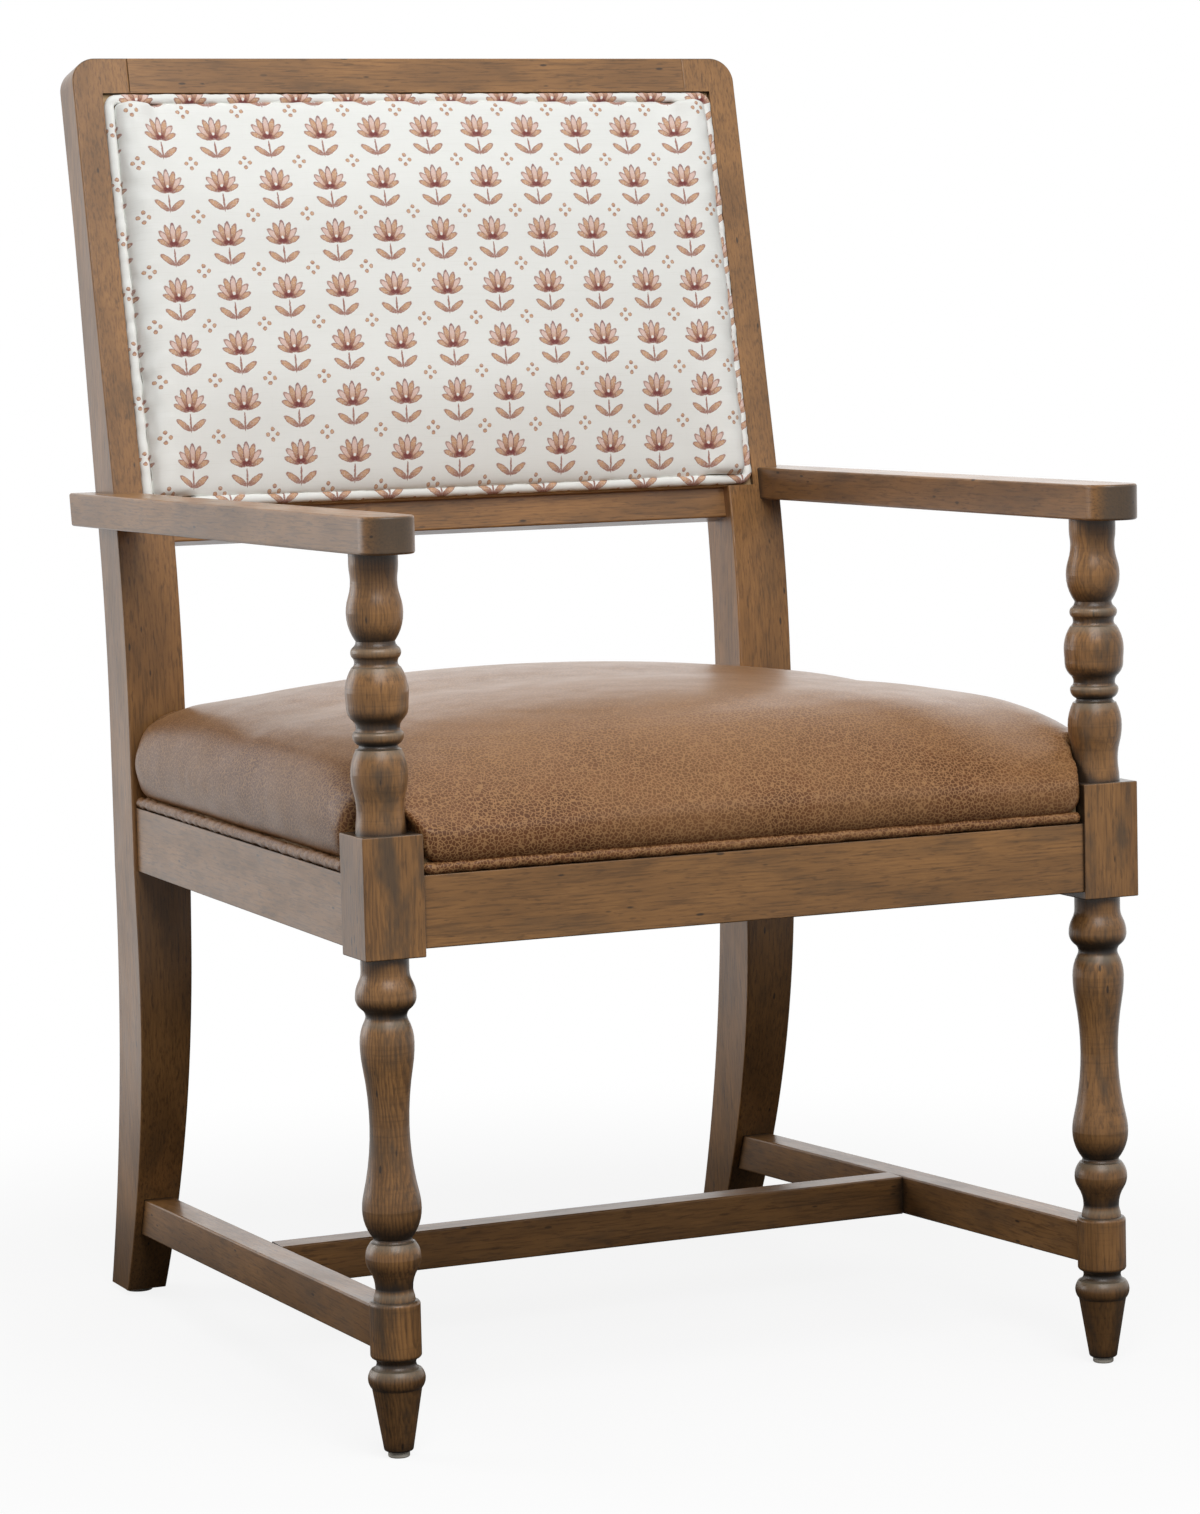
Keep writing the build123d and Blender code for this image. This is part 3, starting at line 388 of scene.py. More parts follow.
@dataclass(frozen=True)
class PebbledLeather:
    """Brown pebbled leather: dark pebbles in a paler network, cloudy, with fewer dark pebbles on top, partly
    rubbed and partly painted top light.
    """

    net: Colour = srgb(160, 119, 79)
    pebble: Colour = srgb(109, 67, 37)
    deep: Colour = srgb(86, 51, 27)
    grain: float = 345.0
    sway: float = 2.8 * MM
    relief: float = 0.14 * MM

    def build(self, name: str) -> bpy.types.Material:
        """Make the leather.

        Args:
            name: the material's name.
        Returns:
            The material.
        """
        graph = Graph(name)
        place = graph.coordinates
        sway = graph.node("TexNoise", {"Vector": place, "Scale": 220.0, "Detail": 2.0}).outputs["Color"]
        bent = graph.vector("MULTIPLY_ADD", sway, (self.sway,) * 3, place)
        edges = graph.node("TexVoronoi", {"Vector": bent, "Scale": self.grain}, feature="DISTANCE_TO_EDGE")
        pebble = graph.band(edges.outputs["Distance"], 0.03, 0.14)
        patch = graph.noise(place, 9.0, 3.0, 0.6)
        rub = graph.noise(place, 34.0, 4.0, 0.65)
        tone = graph.mix(graph.band(rub, 0.34, 0.64, 0.0, 0.7), self.pebble, self.deep)
        tone = graph.mix(graph.band(patch, 0.38, 0.68, 0.0, 0.28), tone, self.net)
        # Painted top light with a little rub: upward-facing surfaces lose some dark pebbles, so the top reads
        # lighter.
        top = graph.node("SeparateXYZ", {0: graph.facing()}).outputs[2]
        rubbed_and_lit_top = graph.band(top, 0.70, 1.0, 1.0, 0.65)
        colour = graph.mix(graph.times(pebble, rubbed_and_lit_top), self.net, tone)
        height = graph.math("ADD", pebble, graph.times(graph.noise(place, 900.0, 2.0), 0.35))
        return graph.surface(
            Base_Color=colour,
            Roughness=graph.band(rub, 0.3, 0.7, 0.36, 0.50),
            Normal=graph.bump(height, self.relief, 0.6),
            Specular_IOR_Level=0.12,
            Coat_Weight=0.8,
            Coat_IOR=1.2,
            Coat_Roughness=0.3,
        )


@dataclass(frozen=True)
class SprigLinen:
    """Off-white slub linen, block printed with upright lotus sprigs in straight rows and columns."""

    ground: Colour = srgb(248, 249, 245)
    shade: Colour = srgb(236, 236, 230)
    pink: Colour = srgb(232, 200, 188)
    tan: Colour = srgb(212, 166, 128)
    wine: Colour = srgb(126, 64, 62)
    line: Colour = srgb(164, 112, 98)
    pitch: tuple[float, float] = (45.0, 44.0)
    weave: float = 9.0  # radians to a millimetre
    relief: float = 0.15 * MM

    def build(
        self, name: str, moved: Sequence[float] = (0.0, 0.0), printed: bool = True
    ) -> bpy.types.Material:
        """Make the cloth.

        Args:
            name: the material's name.
            moved: how far the print lies across and up from the back's own, in millimetres, as on a welt.
            printed: False for the plain cloth.
        Returns:
            The material.
        """
        graph = Graph(name)
        across = graph.vector("DOT_PRODUCT", graph.coordinates, (PER_METRE, 0.0, 0.0))
        upward = graph.vector("DOT_PRODUCT", graph.coordinates, tuple(PER_METRE * BACK_UP))
        flat = graph.node("CombineXYZ", {0: across, 1: upward, 2: 0.0}).outputs[0]
        cloth = graph.vector("ADD", flat, (*moved, 0.0))
        slub = graph.noise(graph.scaled(cloth, (0.03, 1.4, 0.0)), 1.0, 3.0, 0.7)
        warp = graph.noise(graph.scaled(cloth, (1.6, 0.05, 0.0)), 1.0, 2.0)
        colour = graph.mix(graph.band(slub, 0.5, 0.75, 0.0, 0.5), self.ground, self.shade)
        colour = graph.mix(graph.band(warp, 0.55, 0.8, 0.0, 0.3), colour, self.shade)
        if printed:
            colour = self.sprigs(graph, cloth, colour)
        threads = graph.math(
            "MAXIMUM",
            graph.math("SINE", graph.times(upward, self.weave)),
            graph.math("SINE", graph.times(across, self.weave)),
        )
        height = graph.math("ADD", graph.times(threads, 0.3), slub)
        return graph.surface(
            Base_Color=colour,
            Roughness=0.88,
            Normal=graph.bump(height, self.relief, 0.5),
            Sheen_Weight=0.12,
            Sheen_Roughness=0.5,
        )

    def sprigs(self, graph: Graph, cloth: Socket, colour: Socket) -> Socket:
        """Print the sprigs over a colour: each shape is an ellipse in its cell, mirrored where it has a twin.

        Args:
            graph: the tree to add to.
            cloth: place on the cloth, in millimetres.
            colour: what lies under the print.
        Returns:
            The printed colour.
        """
        wobble = graph.node("TexNoise", {"Vector": cloth, "Scale": 0.45, "Detail": 1.0}).outputs["Color"]
        hand = graph.vector("MULTIPLY_ADD", wobble, (1.1, 1.1, 0.0), cloth)
        ink = graph.band(graph.noise(cloth, 0.9, 2.0), 0.25, 0.6, 0.62, 1.0)

        def cell(shift: Sequence[float], twin_x: bool, twin_y: bool) -> Socket:
            """Place within a cell from its middle, folded over where a shape has a twin."""
            moved = graph.vector("ADD", hand, (*shift, 0.0))
            parts = graph.node("SeparateXYZ", {0: moved}).outputs
            folded = []
            for part, size, twin in ((parts[0], self.pitch[0], twin_x), (parts[1], self.pitch[1], twin_y)):
                inside = graph.math("WRAP", part, -size / 2, size / 2)
                folded.append(graph.math("ABSOLUTE", inside) if twin else inside)
            return graph.node("CombineXYZ", {0: folded[0], 1: folded[1], 2: 0.0}).outputs[0]

        single = cell((0.0, 0.0), True, False)
        corner = cell((self.pitch[0] / 2, self.pitch[1] / 2), True, True)
        shapes = (
            (single, (0.0, -11.0), (0.8, 7.5), 0.0, self.line, self.line, self.line),
            (single, (6.6, -12.6), (2.5, 7.4), -0.95, self.line, self.tan, self.line),
            (single, (7.6, 0.8), (2.4, 6.8), -1.16, self.wine, self.tan, self.line),
            (single, (6.6, 4.8), (2.7, 7.8), -0.78, self.tan, self.pink, self.line),
            (single, (3.8, 7.4), (2.7, 8.6), -0.36, self.wine, self.tan, self.line),
            (single, (0.0, 8.4), (2.7, 9.0), 0.0, self.tan, self.pink, self.wine),
            (single, (0.0, 0.6), (4.6, 2.8), 0.0, self.wine, self.wine, self.line),
            (single, (0.0, 3.2), (1.3, 1.5), 0.0, self.ground, self.ground, self.pink),
            (corner, (4.0, 0.0), (1.7, 1.7), 0.0, self.line, self.tan, self.line),
            (corner, (0.0, 4.0), (1.7, 1.7), 0.0, self.line, self.tan, self.line),
        )
        for place, middle, size, angle, foot, tip, rim in shapes:
            local = graph.node(
                "Mapping",
                {
                    "Vector": place,
                    "Location": (*middle, 0.0),
                    "Rotation": (0.0, 0.0, angle),
                    "Scale": (*size, 1.0),
                },
                vector_type="TEXTURE",
            ).outputs[0]
            reach = graph.vector("LENGTH", local)
            height = graph.node("SeparateXYZ", {0: local}).outputs[1]
            wash = graph.mix(graph.band(height, -0.9, 0.35), foot, tip)
            inked = graph.mix(graph.band(reach, 0.66, 0.94), wash, rim)
            cover = graph.times(graph.band(reach, 1.07, 0.93), ink)
            colour = graph.mix(cover, colour, inked)
        return colour


@dataclass(frozen=True)
class PlainFinish:
    """A finish with a little mottling and fine relief, for the small and hidden pieces."""

    light: Colour
    dark: Colour
    roughness: float
    metallic: float = 0.0
    scale: float = 60.0
    relief: float = 0.05 * MM

    def build(self, name: str) -> bpy.types.Material:
        """Make the finish.

        Args:
            name: the material's name.
        Returns:
            The material.
        """
        graph = Graph(name)
        mottle = graph.noise(graph.coordinates, self.scale, 4.0, 0.6)
        return graph.surface(
            Base_Color=graph.mix(graph.band(mottle, 0.3, 0.7), self.light, self.dark),
            Roughness=self.roughness,
            Metallic=self.metallic,
            Normal=graph.bump(graph.noise(graph.coordinates, self.scale * 12, 2.0), self.relief, 0.5),
        )


def grid_faces(rows: int, columns: int, around: bool) -> np.ndarray:
    """Quads over a grid of points.

    Args:
        rows, columns: points each way.
        around: True where the last column joins the first.
    Returns:
        One row of four point numbers for each quad.
    """
    last = columns if around else columns - 1
    row, column = np.meshgrid(np.arange(rows - 1), np.arange(last), indexing="ij")
    beside = (column + 1) % columns
    here, above = row * columns, (row + 1) * columns
    quads = (here + column, here + beside, above + beside, above + column)
    return np.stack(quads, -1).reshape(-1, 4)


def make_mesh(name: str, points: np.ndarray, faces: np.ndarray) -> bpy.types.Mesh:
    """A smooth mesh from points and quads.

    Args:
        name: the mesh's name.
        points: one row of three for each point, in metres.
        faces: one row of four point numbers for each quad.
    Returns:
        The mesh.
    """
    mesh = bpy.data.meshes.new(name)
    mesh.vertices.add(len(points))
    mesh.vertices.foreach_set("co", np.ascontiguousarray(points, np.float32).ravel())
    mesh.loops.add(faces.size)
    mesh.loops.foreach_set("vertex_index", faces.astype(np.int32).ravel())
    mesh.polygons.add(len(faces))
    mesh.polygons.foreach_set("loop_start", np.arange(0, faces.size, 4, dtype=np.int32))
    mesh.polygons.foreach_set("use_smooth", np.ones(len(faces), bool))
    mesh.update(calc_edges=True)
    mesh.validate()
    return mesh


def put_in_scene(name: str, data: bpy.types.ID) -> bpy.types.Object:
    """Add an object that shows a mesh, a lamp or a camera."""
    made = bpy.data.objects.new(name, data)
    bpy.context.scene.collection.objects.link(made)
    return made


def cover(mesh: bpy.types.Mesh, material: bpy.types.Material) -> None:
    """Give a mesh one finish and no other."""
    mesh.materials.clear()
    mesh.materials.append(material)


def add_piece(
    name: str, mesh: bpy.types.Mesh, material: bpy.types.Material, nodes: Sequence[str]
) -> bpy.types.Object:
    """Put a new piece on the frame in place of its solids.

    Args:
        name: the piece's name.
        mesh: its mesh, in the row frame.
        material: its finish.
        nodes: the solids it stands for.
    Returns:
        The piece.
    """
    piece = put_in_scene(name, mesh)
    cover(mesh, material)
    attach(piece, "root")
    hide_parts(*nodes)
    LOG.info("%s: %d faces, stands for %s", name, len(mesh.polygons), ", ".join(nodes))
    return piece


def swept_tube(
    path: np.ndarray, radius: np.ndarray, sides: int, closed: bool
) -> tuple[np.ndarray, np.ndarray]:
    """A round profile carried along a path: each ring lies square to the path, its start on one fixed side.

    Args:
        path: the line's points, in order.
        radius: the radius at each point.
        sides: points round the profile.
        closed: True where the path returns to its start.
    Returns:
        The points and the quads.
    """
    if closed:
        way = np.roll(path, -1, 0) - np.roll(path, 1, 0)
    else:
        way = np.gradient(path, axis=0)
    way /= np.linalg.norm(way, axis=1, keepdims=True)
    beside = np.cross(way, BACK_OUT if closed else np.array([0.0, 0.0, 1.0]))
    beside /= np.linalg.norm(beside, axis=1, keepdims=True)
    above = np.cross(beside, way)
    angle = (np.arange(sides) / sides * 2 * math.pi)[None, :, None]
    ring = np.cos(angle) * beside[:, None, :] + np.sin(angle) * above[:, None, :]
    points = path[:, None, :] + ring * radius[:, None, None]
    rows = len(path)
    faces = grid_faces(rows, sides, True)
    if closed:
        join = grid_faces(2, sides, True)
        faces = np.concatenate([faces, np.where(join < sides, join + (rows - 1) * sides, join - sides)])
    return points.reshape(-1, 3), faces[:, ::-1]


def ripple(count: int, seed: int, waves: int, size: float) -> np.ndarray:
    """A smooth irregular line: a sum of sine waves with seeded sizes and starts.

    Args:
        count: how many values.
        seed: the draw.
        waves: how many waves are added.
        size: the usual height.
    Returns:
        The values, the same at both ends.
    """
    draw = np.random.default_rng(seed)
    turn = np.linspace(0.0, 2 * math.pi, count, endpoint=False)
    number = np.arange(1, waves + 1)
    start = draw.uniform(0, 2 * math.pi, waves)
    height = draw.normal(0.0, 1.0, waves) / np.sqrt(waves)
    return size * (np.sin(turn[:, None] * number + start) * height).sum(1)


def back_ring(radius: float) -> tuple[np.ndarray, float, float]:
    """Where the middle line of the back's welt runs, on the back's own plane.

    Args:
        radius: the welt's radius.
    Returns:
        The ring's middle, half its width and half its height.
    """
    low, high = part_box("back_welt")
    middle = np.array([0.0, (low.y + high.y) / 2, (low.z + high.z) / 2])
    height = (high.z - low.z - 2 * radius * math.sin(BACK_RAKE)) / math.cos(BACK_RAKE)
    return middle, high.x - radius, height / 2 - radius


@dataclass
class Pad:
    """A padded piece: its solid's form, remeshed, blown up as cloth and eased."""

    name: str
    form: str
    nodes: tuple[str, ...]
    slot: str
    fill: float
    voxel: float = 5.0 * MM
    cap: float = 7.0 * MM
    pressure: float = 4.0
    frames: int = 20
    smoothing: int = 12
    evening: int = 64
    grip: float = 8.0 * MM
    quality: int = 4
    mass: float = 0.4
    stiffness: float = 25.0
    bending: float = 2.0

    def build(self, material: bpy.types.Material) -> bpy.types.Object:
        """Args:
            material: its cover.
        Returns:
            The piece.
        """
        rough = self.remeshed()
        self.blow_up(rough)
        mesh = rough.data
        bpy.data.objects.remove(rough)
        moved = self.eased(mesh, self.points(mesh))
        mesh.vertices.foreach_set("co", moved.astype(np.float32).ravel())
        mesh.update()
        piece = add_piece(self.name, mesh, material, self.nodes)
        finer = piece.modifiers.new("finer", "SUBSURF")
        finer.levels = finer.render_levels = 1
        return piece

    @staticmethod
    def points(mesh: bpy.types.Mesh) -> np.ndarray:
        """The mesh's points as rows of three."""
        flat = np.empty(len(mesh.vertices) * 3, np.float32)
        mesh.vertices.foreach_get("co", flat)
        return flat.reshape(-1, 3).astype(float)

    def remeshed(self) -> bpy.types.Object:
        """A copy of the solid's form in even quads."""
        mesh = frame["nodes"][self.form].data.copy()
        mesh.name = self.name
        rough = put_in_scene(self.name + "_rough", mesh)
        bpy.context.view_layer.objects.active = rough
        even = rough.modifiers.new("even", "REMESH")
        even.mode = "VOXEL"
        even.voxel_size = self.voxel
        even.use_smooth_shade = True
        self.settle(rough, self.smoothing)
        return rough

    @staticmethod
    def settle(rough: bpy.types.Object, times: int) -> None:
        """Smooth the piece and keep what its modifiers make of it.

        Args:
            rough: the piece, changed in place.
            times: how often each point moves toward its neighbours.
        """
        soft = rough.modifiers.new("soft", "SMOOTH")
        soft.factor = 0.5
        soft.iterations = times
        graph = bpy.context.evaluated_depsgraph_get()
        done = bpy.data.meshes.new_from_object(rough.evaluated_get(graph))
        rough.modifiers.clear()
        rough.data = done

    def held(self, points: np.ndarray) -> np.ndarray:
        """Numbers of the points that the frame holds still: those near the lowest face."""
        return np.flatnonzero(points[:, 2] < points[:, 2].min() + self.grip)

    def blow_up(self, rough: bpy.types.Object) -> None:
        """Run the cloth under pressure and keep each point within the cap.

        Args:
            rough: the remeshed copy, changed in place.
        """
        start = self.points(rough.data)
        held = rough.vertex_groups.new(name="held")
        held.add([int(i) for i in self.held(start)], 1.0, "REPLACE")
        cloth = rough.modifiers.new("cloth", "CLOTH")
        settings = cloth.settings
        settings.quality = self.quality
        settings.mass = self.mass
        settings.tension_stiffness = settings.compression_stiffness = self.stiffness
        settings.bending_stiffness = self.bending
        settings.use_pressure = True
        settings.uniform_pressure_force = self.pressure
        settings.effector_weights.gravity = 0.0
        settings.vertex_group_mass = "held"
        scene = bpy.context.scene
        cloth.point_cache.frame_start, cloth.point_cache.frame_end = 1, self.frames
        for number in range(1, self.frames + 1):
            scene.frame_set(number)
        graph = bpy.context.evaluated_depsgraph_get()
        blown = self.points(rough.evaluated_get(graph).data)
        rough.modifiers.clear()
        rough.vertex_groups.clear()
        scene.frame_set(1)
        step = blown - start
        length = np.linalg.norm(step, axis=1, keepdims=True)
        capped = step * np.minimum(1.0, self.cap / np.maximum(length, TINY))
        kept = start + self.evened(rough.data, capped)
        rough.data.vertices.foreach_set("co", kept.astype(np.float32).ravel())
        rough.data.update()

    def evened(self, mesh: bpy.types.Mesh, values: np.ndarray) -> np.ndarray:
        """Share each point's values with its neighbours, again and again, so that no fold is left.

        Args:
            mesh: the mesh whose edges join the points.
            values: one row for each point.
        Returns:
            The even values.
        """
        ends = np.empty(len(mesh.edges) * 2, np.int32)
        mesh.edges.foreach_get("vertices", ends)
        one, other = ends.reshape(-1, 2).T
        count = len(values)
        beside = np.maximum(np.bincount(ends, minlength=count), 1)[:, None]
        for _ in range(self.evening):
            sums = [
                np.bincount(one, part[other], count) + np.bincount(other, part[one], count)
                for part in values.T
            ]
            values = (values + np.stack(sums, -1) / beside) / 2
        return values

    def eased(self, mesh: bpy.types.Mesh, points: np.ndarray) -> np.ndarray:
        """The points after the pad's own last shaping."""
        return points


@dataclass
class SeatPad(Pad):
    """The leather seat: crowned, full over the rails, drawn round the posts and tucked down on its welt."""

    cap: float = 3.0 * MM
    clear: float = 0.6 * MM
    tuck: float = 6.0 * MM
    tuck_reach: float = 16.0 * MM
    draw: float = 14.0 * MM
    draw_near: float = 20.0 * MM
    draw_fade: float = 36.0 * MM
    draw_rise: float = 26.0 * MM
    forward_share: float = 0.35
    fill_reach: float = 10.0 * MM
    fill_from: tuple[float, float] = (3.0 * MM, 12.0 * MM)
    rear_lift: float = 3.0 * MM
    rear_reach: float = 45.0 * MM
    rear_ends: tuple[float, float] = (150.0 * MM, 230.0 * MM)
    crown: tuple[float, float] = (0.55, 0.85)
    voxel: float = 5.6 * MM
    block_rise: float = 28.5 * MM
    above_block: float = 0.5 * MM

    def eased(self, mesh: bpy.types.Mesh, points: np.ndarray) -> np.ndarray:
        """Calm the crown, tuck the lower edge, draw the cover round the posts, keep it out of the legs."""
        self.lift_rear_ends(points)
        facing = np.empty(len(points) * 3, np.float32)
        mesh.vertices.foreach_get("normal", facing)
        upward = ramp(facing[2::3], *self.crown)
        points[:, 2] += upward * (self.evened(mesh, points[:, 2:])[:, 0] - points[:, 2])
        rise = points[:, 2] - points[:, 2].min()
        points[:, 2] -= self.tuck * ramp(rise, self.tuck_reach, 0.0) ** 2
        self.fill_to_blocks(points)
        self.draw_round_posts(points)
        self.keep_out(points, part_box("front_leg_right")[0].x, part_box("side_seat_rail_right")[0].y, -1)
        self.keep_out(points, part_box("rear_leg_right")[0].x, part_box("side_seat_rail_right")[1].y, 1)
        return points

    def fill_to_blocks(self, points: np.ndarray) -> None:
        """Widen the front part's two ends until they lie against the blocks, save along the lower edge."""
        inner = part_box("front_leg_right")[0].x - self.clear
        gap = inner - np.abs(points[:, 0])
        rise = points[:, 2] - points[:, 2].min()
        share = ramp(rise, *self.fill_from)
        share *= (points[:, 1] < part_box("side_seat_rail_right")[0].y) & (gap > 0)
        share *= ramp(gap, self.fill_reach, self.fill_reach / 3)
        points[:, 0] += np.sign(points[:, 0]) * gap * share

    def lift_rear_ends(self, points: np.ndarray) -> None:
        """Raise the crown a little beside the rear legs, where it would fall away too soon."""
        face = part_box("side_seat_rail_right")[1].y
        along = ramp(face - points[:, 1], self.rear_reach, 0.0)
        across = ramp(np.abs(points[:, 0]), *self.rear_ends)
        upper = ramp(points[:, 2] - self.block_top(), 0.0, self.rear_reach)
        points[:, 2] += self.rear_lift * along * across * upper

    def block_top(self) -> float:
        """Height of the front legs' square blocks."""
        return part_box("front_seat_rail")[1].z + self.block_rise

    def post_profile(self, axis: np.ndarray) -> tuple[np.ndarray, np.ndarray]:
        """Heights and radii of the turned post, from the leg's own points above its block.

        Args:
            axis: X and Y of the post's axis.
        Returns:
            The heights, rising, and the radius at each.
        """
        leg = self.points(frame["nodes"]["front_leg_right"].data)
        post = leg[leg[:, 2] > self.block_top() + self.above_block]
        heights, which = np.unique(np.round(post[:, 2], 4), return_inverse=True)
        radii = np.zeros(len(heights))
        np.maximum.at(radii, which.ravel(), np.hypot(post[:, 0] - axis[0], post[:, 1] - axis[1]))
        return heights, radii

    def draw_round_posts(self, points: np.ndarray) -> None:
        """Draw the cover above the blocks on to the posts, most near the post, fading with distance."""
        low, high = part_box("front_leg_right")
        axis = np.array([(low.x + high.x) / 2, (low.y + high.y) / 2])
        heights, radii = self.post_profile(axis)
        toward = axis - np.stack([np.abs(points[:, 0]), points[:, 1]], -1)
        far = np.linalg.norm(toward, axis=1)
        near = smooth(ramp(far - self.draw_near, self.draw_fade, 0.0))
        rise = points[:, 2] - self.block_top()
        bare = far - np.interp(points[:, 2], heights, radii) - self.clear
        step = np.minimum(self.draw * near * ramp(rise, 0.0, self.draw_rise), np.maximum(bare, 0.0))
        step = np.where((rise > 0) & (bare < 0), bare, step)
        points[:, 0] += np.sign(points[:, 0]) * toward[:, 0] / far * step
        points[:, 1] += toward[:, 1] / far * step * np.where(toward[:, 1] > 0, self.forward_share, 1.0)

    def keep_out(self, points: np.ndarray, inner: float, face: float, way: int) -> None:
        """Send points inside a leg's corner back to its nearer face, save those above a front block.

        Args:
            points: the cover's points, changed in place.
            inner: X of the leg's inner face.
            face: Y of the leg's face toward the seat.
            way: -1 for the front legs, 1 for the rear ones.
        """
        across = np.abs(points[:, 0]) - (inner - self.clear)
        along = way * (points[:, 1] - face) + self.clear
        slack = self.draw if way < 0 else 0.0
        room = slack * ramp(points[:, 2] - self.block_top(), 0.0, self.draw_rise)
        across = across - room
        along = along - room
        inside = (across > 0) & (along > 0)
        sideways = inside & (across <= along)
        backward = inside & ~sideways
        points[sideways, 0] -= np.sign(points[sideways, 0]) * across[sideways]
        points[backward, 1] -= way * along[backward]


@dataclass
class BackPad(Pad):
    """The printed back: a low crowned panel whose edge meets its welt all round."""

    welt_radius: float = 4.0 * MM
    overlap: float = 1.6 * MM
    square: float = 60.0
    sectors: int = 720
    still: float = 0.72
    grip: float = 6.0 * MM

    def held(self, points: np.ndarray) -> np.ndarray:
        """Numbers of the points near the board behind the pad."""
        out = points @ BACK_OUT
        return np.flatnonzero(out < out.min() + self.grip)

    def eased(self, mesh: bpy.types.Mesh, points: np.ndarray) -> np.ndarray:
        """Stretch the outer part of the pad on its own plane until its edge lies under the welt all round."""
        middle, half, tall = back_ring(self.welt_radius)
        half += self.overlap - self.welt_radius
        tall += self.overlap - self.welt_radius
        flat = np.stack([points[:, 0] / half, (points - middle) @ BACK_UP / tall], -1)
        reach = np.linalg.norm(flat, axis=1)
        turn = np.arctan2(flat[:, 1], flat[:, 0])
        sector = ((turn / (2 * math.pi) + 0.5) * self.sectors).astype(int) % self.sectors
        edge = np.zeros(self.sectors)
        np.maximum.at(edge, sector, reach)
        edge = np.maximum(edge, np.maximum(np.roll(edge, 1), np.roll(edge, -1)))
        here = np.interp(turn, (np.arange(self.sectors) + 0.5) / self.sectors * 2 * math.pi - math.pi, edge)
        sides = np.abs(np.cos(turn)) ** self.square + np.abs(np.sin(turn)) ** self.square
        wanted = sides ** (-1 / self.square)
        growth = (wanted / here - 1.0) * smooth(ramp(reach / here, self.still, 1.0))
        step = flat * growth[:, None]
        points[:, 0] += step[:, 0] * half
        points += BACK_UP * (step[:, 1] * tall)[:, None]
        return points


@dataclass
class SeatWelts:
    """The leather welts between the seat and the rails, a little uneven as sewn ones are."""

    radius: float = 4.25 * MM
    sides: int = 20
    step: float = 2.5 * MM
    uneven: float = 0.45 * MM
    swell: float = 0.05
    tip: float = 0.02
    nodes: tuple[str, ...] = (
        "seat_welt_front",
        "seat_welt_rear",
        "seat_welt_side_left",
        "seat_welt_side_right",
    )

    def build(self, material: bpy.types.Material) -> None:
        """Make the four welts from the solids' own places."""
        for number, node in enumerate(self.nodes):
            low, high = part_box(node)
            middle_z = (low.z + high.z) / 2
            if "side" in node:
                front_x, rear_x = high.x - self.radius, low.x + self.radius
                if "left" in node:
                    front_x, rear_x = low.x + self.radius, high.x - self.radius
                ends = np.array([[front_x, low.y, middle_z], [rear_x, high.y, middle_z]])
            else:
                middle_y = (low.y + high.y) / 2
                ends = np.array([[low.x, middle_y, middle_z], [high.x, middle_y, middle_z]])
            count = int(np.linalg.norm(ends[1] - ends[0]) / self.step)
            share = np.linspace(0.0, 1.0, count)
            path = ends[0] + (ends[1] - ends[0]) * share[:, None]
            path[:, 2] += ripple(count, 11 + number, 40, self.uneven)
            size = self.radius * (1.0 + ripple(count, 31 + number, 60, self.swell))
            from_end = np.minimum(share, 1 - share) * count / 2.0
            rounded = np.sqrt(1.0 - np.clip(1.0 - from_end, 0.0, 1.0) ** 2)
            points, faces = swept_tube(path, size * np.maximum(rounded, self.tip), self.sides, False)
            add_piece("leather_" + node, make_mesh(node, points, faces), material, [node])


@dataclass
class BackWelt:
    """The cloth welt round the back pad, in the pad's own cloth."""

    radius: float = 4.0 * MM
    corner: float = 7.0 * MM
    sides: int = 20
    step: float = 2.0 * MM
    uneven: float = 0.35 * MM
    swell: float = 0.05

    def build(self, material: bpy.types.Material) -> None:
        """Make the ring: straight runs and quarter turns on the back's own plane."""
        middle, half, tall = back_ring(self.radius)
        flat = self.rounded_outline(half, tall)
        count = len(flat)
        path = middle + flat[:, :1] * np.array([1.0, 0.0, 0.0]) + flat[:, 1:] * BACK_UP
        path += BACK_OUT * ripple(count, 5, 120, self.uneven)[:, None]
        size = self.radius * (1.0 + ripple(count, 6, 200, self.swell))
        points, faces = swept_tube(path, size, self.sides, True)
        mesh = make_mesh("back_welt", points, faces)
        add_piece("cloth_back_welt", mesh, material, ["back_welt"])

    def rounded_outline(self, half: float, tall: float) -> np.ndarray:
        """A rectangle with round corners, walked at even steps.

        Args:
            half: half its width.
            tall: half its height.
        Returns:
            Rows of two: across and up.
        """
        quarters = np.array([[1, 1], [-1, 1], [-1, -1], [1, -1]])
        corners = quarters * np.array([half - self.corner, tall - self.corner])
        turn = np.linspace(0.0, math.pi / 2, 13)
        start = np.arange(4) * math.pi / 2
        angle = start[:, None] + turn
        arcs = corners[:, None, :] + self.corner * np.stack([np.cos(angle), np.sin(angle)], -1)
        line = arcs.reshape(-1, 2)
        ring = np.concatenate([line, line[:1]])
        length = np.concatenate([[0.0], np.cumsum(np.linalg.norm(np.diff(ring, axis=0), axis=1))])
        even = np.linspace(0.0, length[-1], int(length[-1] / self.step), endpoint=False)
        return np.stack([np.interp(even, length, ring[:, 0]), np.interp(even, length, ring[:, 1])], -1)


